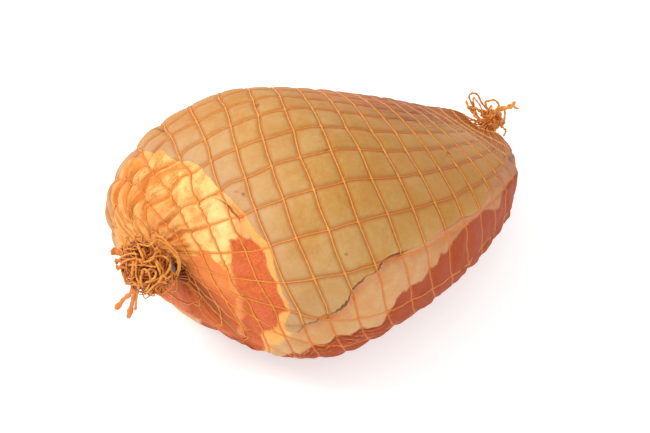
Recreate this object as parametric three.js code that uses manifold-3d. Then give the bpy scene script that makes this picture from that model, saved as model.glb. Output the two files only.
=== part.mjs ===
// Smoked ham: a boned whole ham in a tube of elastic netting, drawn shut at both ends.
// Millimetres. +X runs from the cut end to the shank end, +Z is up, and the origin is on the
// table under the middle of the whole part. The ham rests on the flattened cells of its underside.

import * as THREE from 'three';
import { mergeVertices } from 'three/addons/utils/BufferGeometryUtils.js';
import Module from 'manifold-3d';

const wasm = await Module();
wasm.setup();

// Ham: overall form
const hamLength = 330;
const hamWidth = 221;
const hamHeight = 158;
const widestAt = 0.15;
const tallestAt = 0.27;
const frontFlare = 0.285;
const shankNarrowing = 0.568;
const frontDrop = 0.3;
const shankDrop = 0.82;
const narrowingBend = 1.86;
const dropBend = 1.28;
const topFullness = 1.93;
const sideFullness = 2.7;

// Ham: rounding of its ends, as a share of the length and a squareness
const frontRound = { reach: 0.215, squareness: 2.5 };
const frontUnder = { reach: 0.24, squareness: 2.2 };
const shankRound = { reach: 0.223, squareness: 1.67 };

// Ham: height and sideways place of its middle line, at the front, between, and at the shank
const middleHeight = [65, 103, 31];
const middleSide = [11, -22.6, 68.5];

// Ham: lip of meat that hangs under the knot, at a station and an angle round the ham
const lip = { depth: 7, station: 0.05, spread: 0.06, angle: 4.98, turn: 0.4 };

// Net: strands run from end to end, hoops go round, and both spread over the ham
const strandCount = 20;
const hoopCount = 21;
const collarArc = 11;
const hoopPitch = 22;
const strandTurn = -1.4;
const crowding = { amount: 0.356, centre: 0.205 };
const twist = { straight: 0.82, bend: -2.76, level: 0.08 };
const hoopLean = { top: -32, topChange: 5, side: 68, sideChange: -34, fade: 4 };
const hoopWidth = 2.2;
const strandWidth = 1.8;
const netThickness = 1.6;

// Net in the meat: how deep it has sunk, the room under it, and how far each cell swells out
const netSink = 2;
const netRoom = 1.3;
const swell = { skin: 1.8, meat: 3.6, underside: 5 };
const underFrom = 0.3;
const underTo = 0.8;
const skinDownTo = 0.15;
const skinFromHoop = 5;
const steepest = 0.34;
const poleDimple = 5;
const grooveDepth = netSink + netThickness / 2 + netRoom;

// Gathered ends of the net: the front neck stands on the collar, the back one in the dimple
const gap = 0.5;
const neckWaist = { radius: 5.5, from: 0.3, to: 0.8 };
const frontNeck = { foot: 10, length: 13 };
const backNeck = { foot: 8, length: 17 };
const clipSize = { wall: 1.8, length: 4.5, clearance: 0.5 };
const bunch = { out: 21, lift: 10, side: -3, half: [11, 25, 22], loops: 6, loopReach: 15 };
const tuft = { out: 11, rise: 10, half: [7, 10, 9], loops: 5, loopHeight: 24 };
const threadRadius = 1.3;
const sampleCount = 800;

// Materials
const finish = (color, roughness, metalness) =>
  new THREE.MeshStandardMaterial({ color, roughness, metalness });
const rindFinish = finish(0xcf9f62, 0.45, 0);
const netFinish = finish(0xd98a3e, 0.7, 0);
const clipFinish = finish(0x8d9296, 0.35, 1);

// Value of a quadratic curve through its three control values
function bend(controls, s) {
  const [start, between, end] = controls;
  return start * (1 - s) ** 2 + 2 * between * s * (1 - s) + end * s ** 2;
}

// Rounded end: 0 at the very end, 1 from its reach inwards
function endRounding(s, { reach, squareness }) {
  const outside = THREE.MathUtils.clamp(1 - s / reach, 0, 1);
  return (1 - outside ** squareness) ** (1 / squareness);
}

// Share of the full size at s, which is 1 at the peak and falls off before and after it
function fallOff(s, peak, before, after, power) {
  if (s < peak) {
    return 1 - before * ((peak - s) / peak) ** 2;
  }
  return 1 - after * ((s - peak) / (1 - peak)) ** power;
}

const signedPower = (value, power) => Math.sign(value) * Math.abs(value) ** power;

// Point of the smooth ham: s runs from front (0) to shank (1), and v turns from the far side
// over the top to the near side and back underneath
function formPoint(s, v) {
  const place = THREE.MathUtils.clamp(s, 1e-5, 1 - 1e-5);
  const shank = endRounding(1 - place, shankRound);
  const front = endRounding(place, frontRound);
  const under = endRounding(place, frontUnder);
  const middle = bend(middleHeight, place);
  const taper = fallOff(place, widestAt, -frontFlare, shankNarrowing, narrowingBend);
  const top = hamHeight * fallOff(place, tallestAt, frontDrop, shankDrop, dropBend);
  const upper = Math.sin(v) > 0;
  const power = 2 / (upper ? topFullness : sideFullness);
  const reachUp = (upper ? (top - middle) * front : middle * under) * shank;
  const reachSide = (hamWidth / 2) * taper * front * shank;
  const awayAlong = (place - lip.station) / lip.spread;
  const awayRound = 2 * (1 - Math.cos(v - lip.angle)) / lip.turn ** 2;
  const hang = lip.depth * front * Math.exp(-(awayAlong ** 2) - awayRound);
  return new THREE.Vector3(
    hamLength * (place - 0.5),
    bend(middleSide, place) + reachSide * signedPower(Math.cos(v), power),
    middle + reachUp * signedPower(Math.sin(v), power) - hang,
  );
}

// Outward direction of the smooth ham, from four points close by
function formNormal(s, v) {
  const ds = 0.006;
  const dv = 0.06;
  const from = THREE.MathUtils.clamp(s - ds, 0, 1);
  const to = THREE.MathUtils.clamp(s + ds, 0, 1);
  const along = formPoint(to, v).sub(formPoint(from, v));
  const round = formPoint(s, v + dv).sub(formPoint(s, v - dv));
  return round.cross(along).normalize();
}

// Running length along a line of points, next to the parameter of each
function runningLength(parameterAt, pointAt) {
  const table = [];
  let length = 0;
  let last = null;
  for (let i = 0; i <= sampleCount; i += 1) {
    const parameter = parameterAt(i / sampleCount);
    const point = pointAt(parameter);
    length += last ? point.distanceTo(last) : 0;
    table.push({ parameter, length });
    last = point;
  }
  return table;
}

// Parameter at a given running length
function parameterAtLength(table, length) {
  const next = table.findIndex((row) => row.length >= length);
  if (next <= 0) {
    return table[next < 0 ? table.length - 1 : 0].parameter;
  }
  const [a, b] = [table[next - 1], table[next]];
  const share = (length - a.length) / Math.max(b.length - a.length, 1e-9);
  return THREE.MathUtils.lerp(a.parameter, b.parameter, share);
}

const girthStation = 0.45;
const gaugeAngle = 2.3;
const fullTurn = 2 * Math.PI;
const girth = runningLength((t) => fullTurn * t, (v) => formPoint(girthStation, v));
const gauge = runningLength(
  (t) => (1 - Math.cos(Math.PI * t)) / 2,
  (s) => formPoint(s, gaugeAngle),
);
const girthLength = girth.at(-1).length;

// Where hoop k crosses strand j: hoops are a pitch apart along the ham and lean, strands are
// spread round the girth, closer together on the far upper side, and twist along the ham
function netPlace(k, j) {
  const even = (j + strandTurn) / strandCount;
  const crowd = (crowding.amount / fullTurn) * Math.sin(fullTurn * (even - crowding.centre));
  const share = even - crowd;
  const turns = Math.floor(share);
  const u = k / (hoopCount - 1) - 0.5;
  const v = parameterAtLength(girth, (share - turns) * girthLength) + fullTurn * turns
    + twist.straight * u + twist.bend * (u * u - twist.level);
  const fadeIn = 1 - Math.exp(-k / hoopLean.fade);
  const fadeOut = 1 - Math.exp(-(hoopCount - 1 - k) / hoopLean.fade);
  const lean = (hoopLean.top + hoopLean.topChange * u) * Math.sin(v)
    + (hoopLean.side + hoopLean.sideChange * u) * Math.cos(v);
  const arc = collarArc + hoopPitch * k + fadeIn * fadeOut * lean;
  return [parameterAtLength(gauge, arc), v];
}

// How far a cell swells: little under the skin, more in bare meat and fat, most underneath,
// and never more than its narrower side allows
function cellSwell(k, v, narrowSide) {
  const under = THREE.MathUtils.smoothstep(-Math.sin(v), underFrom, underTo);
  const skinned = Math.sin(v) > -skinDownTo && k > skinFromHoop;
  const wanted = THREE.MathUtils.lerp(skinned ? swell.skin : swell.meat, swell.underside, under);
  return Math.min(wanted, steepest * Math.max(narrowSide - hoopWidth, 0) - grooveDepth);
}

// Closed mesh from points and triangles, turned so that its faces point out
function closedGeometry(points, triangles) {
  let volume = 0;
  for (const [a, b, c] of triangles) {
    volume += points[a].dot(points[b].clone().cross(points[c]));
  }
  const ordered = volume > 0 ? triangles : triangles.map(([a, b, c]) => [a, c, b]);
  const geometry = new THREE.BufferGeometry().setFromPoints(points);
  geometry.setIndex(ordered.flat());
  return geometry;
}

// Solid of a closed mesh whose corners are shared
function solidOf(geometry) {
  const bare = geometry.clone();
  bare.deleteAttribute('normal');
  bare.deleteAttribute('uv');
  const merged = mergeVertices(bare, 1e-4);
  return new wasm.Manifold(new wasm.Mesh({
    numProp: 3,
    vertProperties: new Float32Array(merged.attributes.position.array),
    triVerts: new Uint32Array(merged.index.array),
  }));
}

// Mesh geometry of a solid
function geometryOf(solid) {
  const { vertProperties, triVerts } = solid.getMesh();
  const geometry = new THREE.BufferGeometry();
  geometry.setAttribute('position', new THREE.BufferAttribute(vertProperties, 3));
  geometry.setIndex(new THREE.BufferAttribute(triVerts, 1));
  return geometry;
}

// Solid box below the table, which flattens what it cuts
function belowTable() {
  const size = 2 * hamLength;
  return solidOf(new THREE.BoxGeometry(size, size, size).translate(0, 0, -size / 2));
}

// Ham: two steps to each cell of the net, in a groove along the net and swollen between
function hamGeometry() {
  const rows = 2 * (hoopCount - 1) + 1;
  const columns = 2 * strandCount;
  const place = (row, column) => {
    const [s, v] = netPlace(row / 2, column / 2);
    return { point: formPoint(s, v), normal: formNormal(s, v), v };
  };
  const crossing = (row, column) => {
    const { point, normal } = place(row, column % columns);
    return point.addScaledVector(normal, -grooveDepth);
  };
  const points = [];
  for (let row = 0; row < rows; row += 1) {
    for (let column = 0; column < columns; column += 1) {
      const betweenHoops = row % 2 === 1;
      const betweenStrands = column % 2 === 1;
      if (betweenHoops && betweenStrands) {
        const { point, normal, v } = place(row, column);
        const across = crossing(row - 1, column - 1).distanceTo(crossing(row - 1, column + 1));
        const ahead = crossing(row + 1, column - 1).distanceTo(crossing(row + 1, column + 1));
        const along = crossing(row - 1, column - 1).distanceTo(crossing(row + 1, column - 1));
        const rise = cellSwell(row / 2, v, Math.min(across, ahead, along));
        points.push(point.addScaledVector(normal, rise));
      } else if (betweenHoops) {
        points.push(crossing(row - 1, column).lerp(crossing(row + 1, column), 0.5));
      } else if (betweenStrands) {
        points.push(crossing(row, column - 1).lerp(crossing(row, column + 1), 0.5));
      } else {
        points.push(crossing(row, column));
      }
    }
  }
  const frontPole = points.push(formPoint(0, 0).add(new THREE.Vector3(poleDimple, 0, 0))) - 1;
  const shankPole = points.push(formPoint(1, 0).add(new THREE.Vector3(-poleDimple, 0, 0))) - 1;
  const triangles = [];
  for (let column = 0; column < columns; column += 1) {
    const next = (column + 1) % columns;
    for (let row = 0; row < rows - 1; row += 1) {
      const [a, b] = [row * columns + column, row * columns + next];
      const [c, d] = [a + columns, b + columns];
      const slopesUp = row % 2 === column % 2;
      triangles.push(...(slopesUp ? [[a, b, d], [a, d, c]] : [[a, b, c], [b, d, c]]));
    }
    const last = (rows - 1) * columns;
    triangles.push([next, column, frontPole], [last + column, last + next, shankPole]);
  }
  return geometryOf(solidOf(closedGeometry(points, triangles)).subtract(belowTable()));
}

// Net: a flat block at each crossing, joined to the next hoop and the next strand
function netGeometry() {
  const points = [];
  const centres = [];
  for (let k = 0; k < hoopCount; k += 1) {
    for (let j = 0; j < strandCount; j += 1) {
      const [s, v] = netPlace(k, j);
      const normal = formNormal(s, v);
      centres.push({ point: formPoint(s, v).addScaledVector(normal, -netSink), normal });
    }
  }
  const at = (k, j) => centres[k * strandCount + ((j + strandCount) % strandCount)];
  for (let k = 0; k < hoopCount; k += 1) {
    for (let j = 0; j < strandCount; j += 1) {
      const { point, normal } = at(k, j);
      const before = at(Math.max(k - 1, 0), j).point;
      const after = at(Math.min(k + 1, hoopCount - 1), j).point;
      const along = after.clone().sub(before).projectOnPlane(normal).normalize();
      const round = at(k, j + 1).point.clone().sub(at(k, j - 1).point);
      round.projectOnPlane(normal).normalize();
      for (const rise of [-0.5, 0.5]) {
        for (const [alongSide, roundSide] of [[-0.5, -0.5], [-0.5, 0.5], [0.5, 0.5], [0.5, -0.5]]) {
          points.push(point.clone()
            .addScaledVector(normal, rise * netThickness)
            .addScaledVector(along, alongSide * hoopWidth)
            .addScaledVector(round, roundSide * strandWidth));
        }
      }
    }
  }
  const triangles = [];
  const quad = (a, b, c, d) => triangles.push([a, b, c], [a, c, d]);
  const corner = (k, j, index) => 8 * (k * strandCount + (j % strandCount)) + index;
  for (let k = 0; k < hoopCount; k += 1) {
    for (let j = 0; j < strandCount; j += 1) {
      const block = (index) => corner(k, j, index);
      const aside = (index) => corner(k, j + 1, index);
      quad(block(4), block(5), block(6), block(7));
      quad(block(3), block(2), block(1), block(0));
      quad(block(5), aside(4), aside(7), block(6));
      quad(block(2), aside(3), aside(0), block(1));
      quad(block(1), aside(0), aside(4), block(5));
      quad(block(6), aside(7), aside(3), block(2));
      if (k === 0) {
        quad(block(0), block(1), block(5), block(4));
      }
      if (k === hoopCount - 1) {
        quad(block(7), block(6), block(2), block(3));
      } else {
        const ahead = (index) => corner(k + 1, j, index);
        quad(block(7), block(6), ahead(5), ahead(4));
        quad(ahead(0), ahead(1), block(2), block(3));
        quad(block(3), block(7), ahead(4), ahead(0));
        quad(block(6), block(2), ahead(1), ahead(5));
      }
    }
  }
  return closedGeometry(points, triangles);
}

// Repeatable draws between 0 and 1
function drawsFrom(seed) {
  let state = seed;
  return () => {
    state = (state * 16807) % 2147483647;
    return state / 2147483647;
  };
}

// Closed loop of thread through points
function threadLoop(points) {
  const curve = new THREE.CatmullRomCurve3(points, true);
  return solidOf(new THREE.TubeGeometry(curve, 9, threadRadius, 3, true));
}

// Loose end of thread with a swollen tip
function threadEnd(points) {
  const section = new THREE.Shape();
  section.absarc(0, 0, threadRadius, 0, fullTurn);
  const curve = new THREE.CatmullRomCurve3(points);
  const options = { steps: 4, extrudePath: curve, bevelEnabled: false, curveSegments: 2 };
  const tip = new THREE.IcosahedronGeometry(1.9 * threadRadius, 0).scale(1, 1, 1.4);
  const end = points.at(-1);
  tip.translate(end.x, end.y, end.z);
  return solidOf(new THREE.ExtrudeGeometry(section, options)).add(solidOf(tip));
}

// Uneven ball, the matted heart of a gathered end
function mattedHeart(half, unevenness) {
  const ball = new THREE.SphereGeometry(1, 9, 6);
  const position = ball.attributes.position;
  const point = new THREE.Vector3();
  for (let i = 0; i < position.count; i += 1) {
    point.fromBufferAttribute(position, i);
    const ripple = Math.sin(4 * point.y + 3 * point.z) * Math.cos(5 * point.x - 2 * point.z);
    point.multiplyScalar(1 + unevenness * ripple);
    position.setXYZ(i, half[0] * point.x, half[1] * point.y, half[2] * point.z);
  }
  return ball;
}

// Neck where the strands come together: wide at the ham, narrow under the clip, wide again
function neckGeometry({ foot, length }, direction) {
  const { radius: waist, from, to } = neckWaist;
  const outline = [[0, 0], [foot, 0], [waist, from], [waist, to], [foot, 1], [0, 1]];
  const profile = outline.map(([radius, share]) => new THREE.Vector2(radius, share * length));
  const turned = new THREE.LatheGeometry(profile, 8);
  return turned.rotateZ(direction > 0 ? -Math.PI / 2 : Math.PI / 2);
}

// Front bunch: neck, matted head, loops standing off it, and club-ended tails hanging from it
function frontBunchGeometry() {
  const pole = formPoint(0, 0);
  const draw = drawsFrom(71);
  const foot = pole.clone().add(new THREE.Vector3(-gap, 0, 0));
  const head = pole.clone().add(new THREE.Vector3(-bunch.out, bunch.side, bunch.lift));
  let solid = solidOf(neckGeometry(frontNeck, -1).translate(foot.x, foot.y, foot.z));
  solid = solid.add(solidOf(mattedHeart(bunch.half, 0.16).translate(head.x, head.y, head.z)));
  for (let i = 0; i < bunch.loops; i += 1) {
    const turn = fullTurn * ((i + 0.4 * draw()) / bunch.loops);
    const outward = new THREE.Vector3(0, Math.cos(turn), Math.sin(turn));
    const aside = new THREE.Vector3(-1, -Math.sin(turn) * 0.5, Math.cos(turn) * 0.5).normalize();
    const centre = head.clone().add(new THREE.Vector3(-2 - 5 * draw(), 0, 0))
      .addScaledVector(outward, bunch.half[2] - 8);
    const reach = bunch.loopReach * (0.75 + 0.35 * draw());
    const points = [];
    for (let step = 0; step < 6; step += 1) {
      const angle = (fullTurn * step) / 6;
      points.push(centre.clone()
        .addScaledVector(outward, reach * Math.cos(angle))
        .addScaledVector(aside, 0.6 * reach * Math.sin(angle)));
    }
    solid = solid.add(threadLoop(points));
  }
  const tails = [
    [[-4, 4, -14], [-10, 10, -32], [-12, 14, -50]],
    [[-4, 0, -14], [-7, 2, -34], [-7, 4, -54]],
    [[-2, 14, 2], [-6, 28, 4], [-8, 36, 6]],
    [[-2, 12, -4], [-8, 24, -6], [-10, 32, -8]],
  ];
  for (const tail of tails) {
    solid = solid.add(threadEnd(tail.map(([x, y, z]) => head.clone().add(new THREE.Vector3(x, y, z)))));
  }
  return geometryOf(solid);
}

// Back tuft: neck, small heart, upright loops and two loose ends
function backTuftGeometry() {
  const pole = formPoint(1, 0);
  const draw = drawsFrom(29);
  const foot = pole.clone().add(new THREE.Vector3(gap - poleDimple, 0, 0));
  const heart = pole.clone().add(new THREE.Vector3(tuft.out, 0, tuft.rise));
  let solid = solidOf(neckGeometry(backNeck, 1).translate(foot.x, foot.y, foot.z));
  solid = solid.add(solidOf(mattedHeart(tuft.half, 0.12).translate(heart.x, heart.y, heart.z)));
  for (let i = 0; i < tuft.loops; i += 1) {
    const turn = Math.PI * ((i + 0.5 * draw()) / tuft.loops);
    const lean = new THREE.Vector3(Math.cos(turn) * 0.5, Math.sin(2 * turn) * 0.5, 1).normalize();
    const aside = new THREE.Vector3(Math.sin(turn), -Math.cos(turn), 0);
    const height = tuft.loopHeight * (0.7 + 0.3 * draw());
    const centre = heart.clone().addScaledVector(lean, height / 2 + 2);
    const points = [];
    for (let step = 0; step < 6; step += 1) {
      const angle = (fullTurn * step) / 6;
      points.push(centre.clone()
        .addScaledVector(lean, 0.5 * height * Math.cos(angle))
        .addScaledVector(aside, 0.24 * height * Math.sin(angle)));
    }
    solid = solid.add(threadLoop(points));
  }
  const ends = [[[2, -4, 5], [8, -10, 14], [18, -14, 18]], [[2, -2, 5], [10, -8, 18], [20, -12, 24]]];
  for (const end of ends) {
    solid = solid.add(threadEnd(end.map(([x, y, z]) => heart.clone().add(new THREE.Vector3(x, y, z)))));
  }
  return geometryOf(solid);
}

// Clip: a bent band round the neck, with its two ends lapped on one side
function clipGeometry() {
  const inner = neckWaist.radius + clipSize.clearance;
  const outer = inner + clipSize.wall;
  const band = new THREE.Shape();
  band.absarc(0, 0, outer, 0, fullTurn);
  const bore = new THREE.Path();
  bore.absarc(0, 0, inner, 0, fullTurn, true);
  band.holes.push(bore);
  const options = { depth: clipSize.length, bevelEnabled: false, curveSegments: 8 };
  const ring = new THREE.ExtrudeGeometry(band, options);
  const lap = new THREE.BoxGeometry(2.4, 5, clipSize.length);
  lap.translate(outer + 0.6, 0, clipSize.length / 2);
  return geometryOf(solidOf(ring).add(solidOf(lap)));
}

const part = new THREE.Group();

function addPiece(name, geometry, material) {
  const mesh = new THREE.Mesh(geometry, material);
  mesh.name = name;
  part.add(mesh);
  return mesh;
}

addPiece('ham', hamGeometry(), rindFinish);
addPiece('net', netGeometry(), netFinish);
addPiece('front_bunch', frontBunchGeometry(), netFinish);
addPiece('back_tuft', backTuftGeometry(), netFinish);
const clip = addPiece('clip', clipGeometry(), clipFinish);
const frontPole = formPoint(0, 0);
clip.rotation.y = -Math.PI / 2;
const clipStart = gap + neckWaist.from * frontNeck.length + clipSize.clearance;
clip.position.set(frontPole.x - clipStart, frontPole.y, frontPole.z);

// The origin goes under the middle of everything, on the table
part.updateMatrixWorld(true);
const extent = new THREE.Box3().setFromObject(part, true);
const middleOfAll = extent.getCenter(new THREE.Vector3());
part.position.set(-middleOfAll.x, -middleOfAll.y, 0);

export default part;
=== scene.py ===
import bpy
import math
from functools import partial
from types import SimpleNamespace

import numpy as np
from mathutils import Matrix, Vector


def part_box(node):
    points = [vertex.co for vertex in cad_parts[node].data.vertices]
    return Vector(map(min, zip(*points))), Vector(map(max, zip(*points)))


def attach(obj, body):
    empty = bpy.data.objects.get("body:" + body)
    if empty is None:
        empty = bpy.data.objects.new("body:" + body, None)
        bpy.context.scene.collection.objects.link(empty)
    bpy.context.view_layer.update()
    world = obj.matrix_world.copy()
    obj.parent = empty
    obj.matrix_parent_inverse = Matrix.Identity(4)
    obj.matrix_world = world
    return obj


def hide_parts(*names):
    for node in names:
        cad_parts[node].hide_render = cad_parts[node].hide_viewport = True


# Smoked ham in elastic netting. Shapes are worked out in millimetres in the ham's own frame,
# with the middle of its length at x = 0, and are moved to the solids' frame when they are meshed.

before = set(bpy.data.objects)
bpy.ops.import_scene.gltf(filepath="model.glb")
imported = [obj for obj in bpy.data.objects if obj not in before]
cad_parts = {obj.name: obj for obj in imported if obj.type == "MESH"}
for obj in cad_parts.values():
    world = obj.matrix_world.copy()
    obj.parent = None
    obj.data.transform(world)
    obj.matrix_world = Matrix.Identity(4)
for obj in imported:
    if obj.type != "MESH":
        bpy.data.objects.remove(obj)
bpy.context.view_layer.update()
clipLow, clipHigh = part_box("clip")
# Where the clip is taken to be in the ham's own frame: its face towards the ham, and its middle.
# The solid's clip is at y = 14.79 there, so the scene stands 3.8 mm towards +Y of the solids
clipPlace = {"x": -169.9, "y": 11}
shift = np.array([1000 * clipHigh.x - clipPlace["x"],
                  500 * (clipLow.y + clipHigh.y) - clipPlace["y"], 0])
print("frame loaded, own frame shifted by", shift.round(2))


# Overall form: the same named values as the solid
body = {
    "length": 330, "width": 221, "height": 158,
    "widestAt": 0.15, "flare": 0.285, "narrowing": 0.568, "narrowingBend": 1.86,
    "tallestAt": 0.27, "frontDrop": 0.3, "shankDrop": 0.82, "dropBend": 1.28,
    "topFullness": 1.93, "sideFullness": 2.7,
    "frontRound": (0.215, 2.5), "frontUnder": (0.24, 2.2), "shankRound": (0.223, 1.67),
    "middleHeight": (65, 103, 31), "middleSide": (11, -22.6, 68.5),
    "lip": {"depth": 7, "station": 0.05, "spread": 0.06, "angle": 4.98, "turn": 0.4},
}


# Quadratic curve: start (1-s)² + 2 between s (1-s) + end s²
def bend(controls, s):
    start, between, end = controls
    return start * (1 - s) ** 2 + 2 * between * s * (1 - s) + end * s ** 2


# Rounded end: (1 - (1 - s/reach)^q)^(1/q), which is 0 at the end and 1 from its reach inwards
def endRounding(s, reachAndSquareness):
    reach, squareness = reachAndSquareness
    return (1 - np.clip(1 - s / reach, 0, 1) ** squareness) ** (1 / squareness)


# 1 at the peak, less before² ahead of it and less after^power behind it
def fallOff(s, peak, before, after, power):
    ahead = 1 - before * ((peak - s) / peak) ** 2
    return np.where(s < peak, ahead, 1 - after * (np.abs(s - peak) / (1 - peak)) ** power)


def signedPower(value, power):
    return np.sign(value) * np.abs(value) ** power


# Smooth ham: at station s, a superellipse round the middle line, cos(v)^(2/n) across and
# sin(v)^(2/n) up, times the taper and both end roundings, with a lip hanging under the knot
def formPoint(s, v):
    s = np.clip(s, 1e-5, 1 - 1e-5)
    shank = endRounding(1 - s, body["shankRound"])
    front = endRounding(s, body["frontRound"])
    under = endRounding(s, body["frontUnder"])
    middle = bend(body["middleHeight"], s)
    taper = fallOff(s, body["widestAt"], -body["flare"], body["narrowing"], body["narrowingBend"])
    drop = fallOff(s, body["tallestAt"], body["frontDrop"], body["shankDrop"], body["dropBend"])
    upper = np.sin(v) > 0
    power = 2 / np.where(upper, body["topFullness"], body["sideFullness"])
    rise = np.where(upper, (body["height"] * drop - middle) * front, middle * under) * shank
    reach = body["width"] / 2 * taper * front * shank
    lip = body["lip"]
    away = ((s - lip["station"]) / lip["spread"]) ** 2
    away = away + 2 * (1 - np.cos(v - lip["angle"])) / lip["turn"] ** 2
    return np.stack([
        body["length"] * (s - 0.5) + 0 * v,
        bend(body["middleSide"], s) + reach * signedPower(np.cos(v), power),
        middle + rise * signedPower(np.sin(v), power) - lip["depth"] * front * np.exp(-away),
    ], axis=-1)


def unit(vectors):
    return vectors / np.maximum(np.linalg.norm(vectors, axis=-1, keepdims=True), 1e-9)


# Outward direction of the smooth ham: cross product of steps round it and along it
def formNormal(s, v):
    along = formPoint(np.clip(s + 0.006, 0, 1), v) - formPoint(np.clip(s - 0.006, 0, 1), v)
    return unit(np.cross(formPoint(s, v + 0.06) - formPoint(s, v - 0.06), along))


# Net coordinates: k counts hoops from the knot, j counts strands round the ham
netting = {
    "strands": 20, "hoops": 21, "collarArc": 11, "pitch": 22, "turn": -1.4,
    "crowding": 0.356, "crowdedAt": 0.205, "twist": 0.82, "twistBend": -2.76, "twistLevel": 0.08,
    "lean": (-32, 5, 68, -34), "leanFade": 4,
    "slackBelow": 3.4, "slackShare": 0.24, "wavyShare": 0.035,
    "hoopRadius": 0.52, "strandRadius": 0.43, "ply": 0.13, "plyPitch": 5.2, "knotSwell": 0.45,
    "zigzag": 0.42, "zigzagBelow": 4.8, "wrapFrom": -4.5,
}
lastHoop = netting["hoops"] - 1
around = netting["strands"]


def runningLength(points):
    return np.concatenate([[0], np.cumsum(np.linalg.norm(np.diff(points, axis=0), axis=1))])


turnAngles = np.linspace(0, 2 * np.pi, 801)
turnRun = runningLength(formPoint(0.45 + 0 * turnAngles, turnAngles))
gaugeStations = (1 - np.cos(np.linspace(0, np.pi, 801))) / 2
gaugeRun = runningLength(formPoint(gaugeStations, 2.3 + 0 * gaugeStations))


# Station and angle of net place (k, j): equal running lengths, crowded, twisted and leaning
def netPlace(k, j):
    even = (j + netting["turn"]) / around
    crowd = netting["crowding"] / (2 * np.pi) * np.sin(2 * np.pi * (even - netting["crowdedAt"]))
    share = even - crowd
    turns = np.floor(share)
    u = k / lastHoop - 0.5
    v = np.interp((share - turns) * turnRun[-1], turnRun, turnAngles) + 2 * np.pi * turns
    v = v + netting["twist"] * u + netting["twistBend"] * (u * u - netting["twistLevel"])
    top, topChange, side, sideChange = netting["lean"]
    fade = (1 - np.exp(-k / netting["leanFade"])) * (1 - np.exp((k - lastHoop) / netting["leanFade"]))
    lean = (top + topChange * u) * np.sin(v) + (side + sideChange * u) * np.cos(v)
    arc = netting["collarArc"] + netting["pitch"] * k + fade * lean
    return np.interp(arc, gaugeRun, gaugeStations), v


# Random heights on a lattice, blended by 3t²-2t³; the second way round repeats after wrap steps
def easedNoise(x, y, wrap, seed):
    heights = np.random.default_rng(seed).uniform(-1, 1, (96, wrap))
    x, y = np.broadcast_arrays(np.asarray(x, float), np.asarray(y, float))
    column, row = np.floor(x).astype(int), np.floor(y).astype(int)
    a, b = x - column, y - row
    a, b = a * a * (3 - 2 * a), b * b * (3 - 2 * b)
    at = lambda i, n: heights[(column + i) % 96, (row + n) % wrap]
    return (1 - a) * ((1 - b) * at(0, 0) + b * at(0, 1)) + a * ((1 - b) * at(1, 0) + b * at(1, 1))


# Sum of easedNoise at doubling rates and halving heights, with steps per cell each way
def layeredNoise(k, j, perHoop, perStrand, layers, seed):
    total = 0
    for layer in range(layers):
        rate = 2 ** layer
        total = total + easedNoise(k * perHoop * rate + 7 * layer, j * perStrand * rate,
                                   int(around * perStrand * rate), seed + layer) / rate
    return total


def easeBetween(value, low, high):
    t = np.clip((value - low) / (high - low), 0, 1)
    return t * t * (3 - 2 * t)


# Where the net really lies: slack and wavy near the knot on the far side, nearly true elsewhere
def slackPlace(k, j):
    round20 = np.mod(j, around)
    far = easeBetween(8.5 - np.abs(np.mod(round20 - 2.5 + 10, around) - 10), 0, 5)
    loose = netting["slackShare"] * np.exp(-(k / netting["slackBelow"]) ** 2) * far + netting["wavyShare"]
    fade = easeBetween(k, 0, 1) * easeBetween(lastHoop - k, 0, 1)
    swayJ = loose * fade * layeredNoise(k, round20, 1.1, 1, 2, 11)
    swayK = loose * fade * layeredNoise(k, round20, 1, 1, 2, 23)
    wave = np.abs(np.mod(k, 2) - 1) - 0.5
    zigzag = netting["zigzag"] * far * fade * easeBetween(netting["zigzagBelow"] - k, 0, 2)
    return netPlace(k + swayK, j + swayJ + zigzag * wave * np.cos(np.pi * round20))


# Smooth curve through knots (x, y), cubic between them with averaged slopes
def curveThrough(x, knots):
    xs, ys = np.array(knots, float).T
    slopes = np.gradient(ys, xs)
    i = np.clip(np.searchsorted(xs, x) - 1, 0, len(xs) - 2)
    h = xs[i + 1] - xs[i]
    t = np.clip((x - xs[i]) / h, 0, 1)
    return ((1 + 2 * t) * (1 - t) ** 2 * ys[i] + t * (1 - t) ** 2 * h * slopes[i]
            + t * t * (3 - 2 * t) * ys[i + 1] - t * t * (1 - t) * h * slopes[i + 1])


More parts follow.
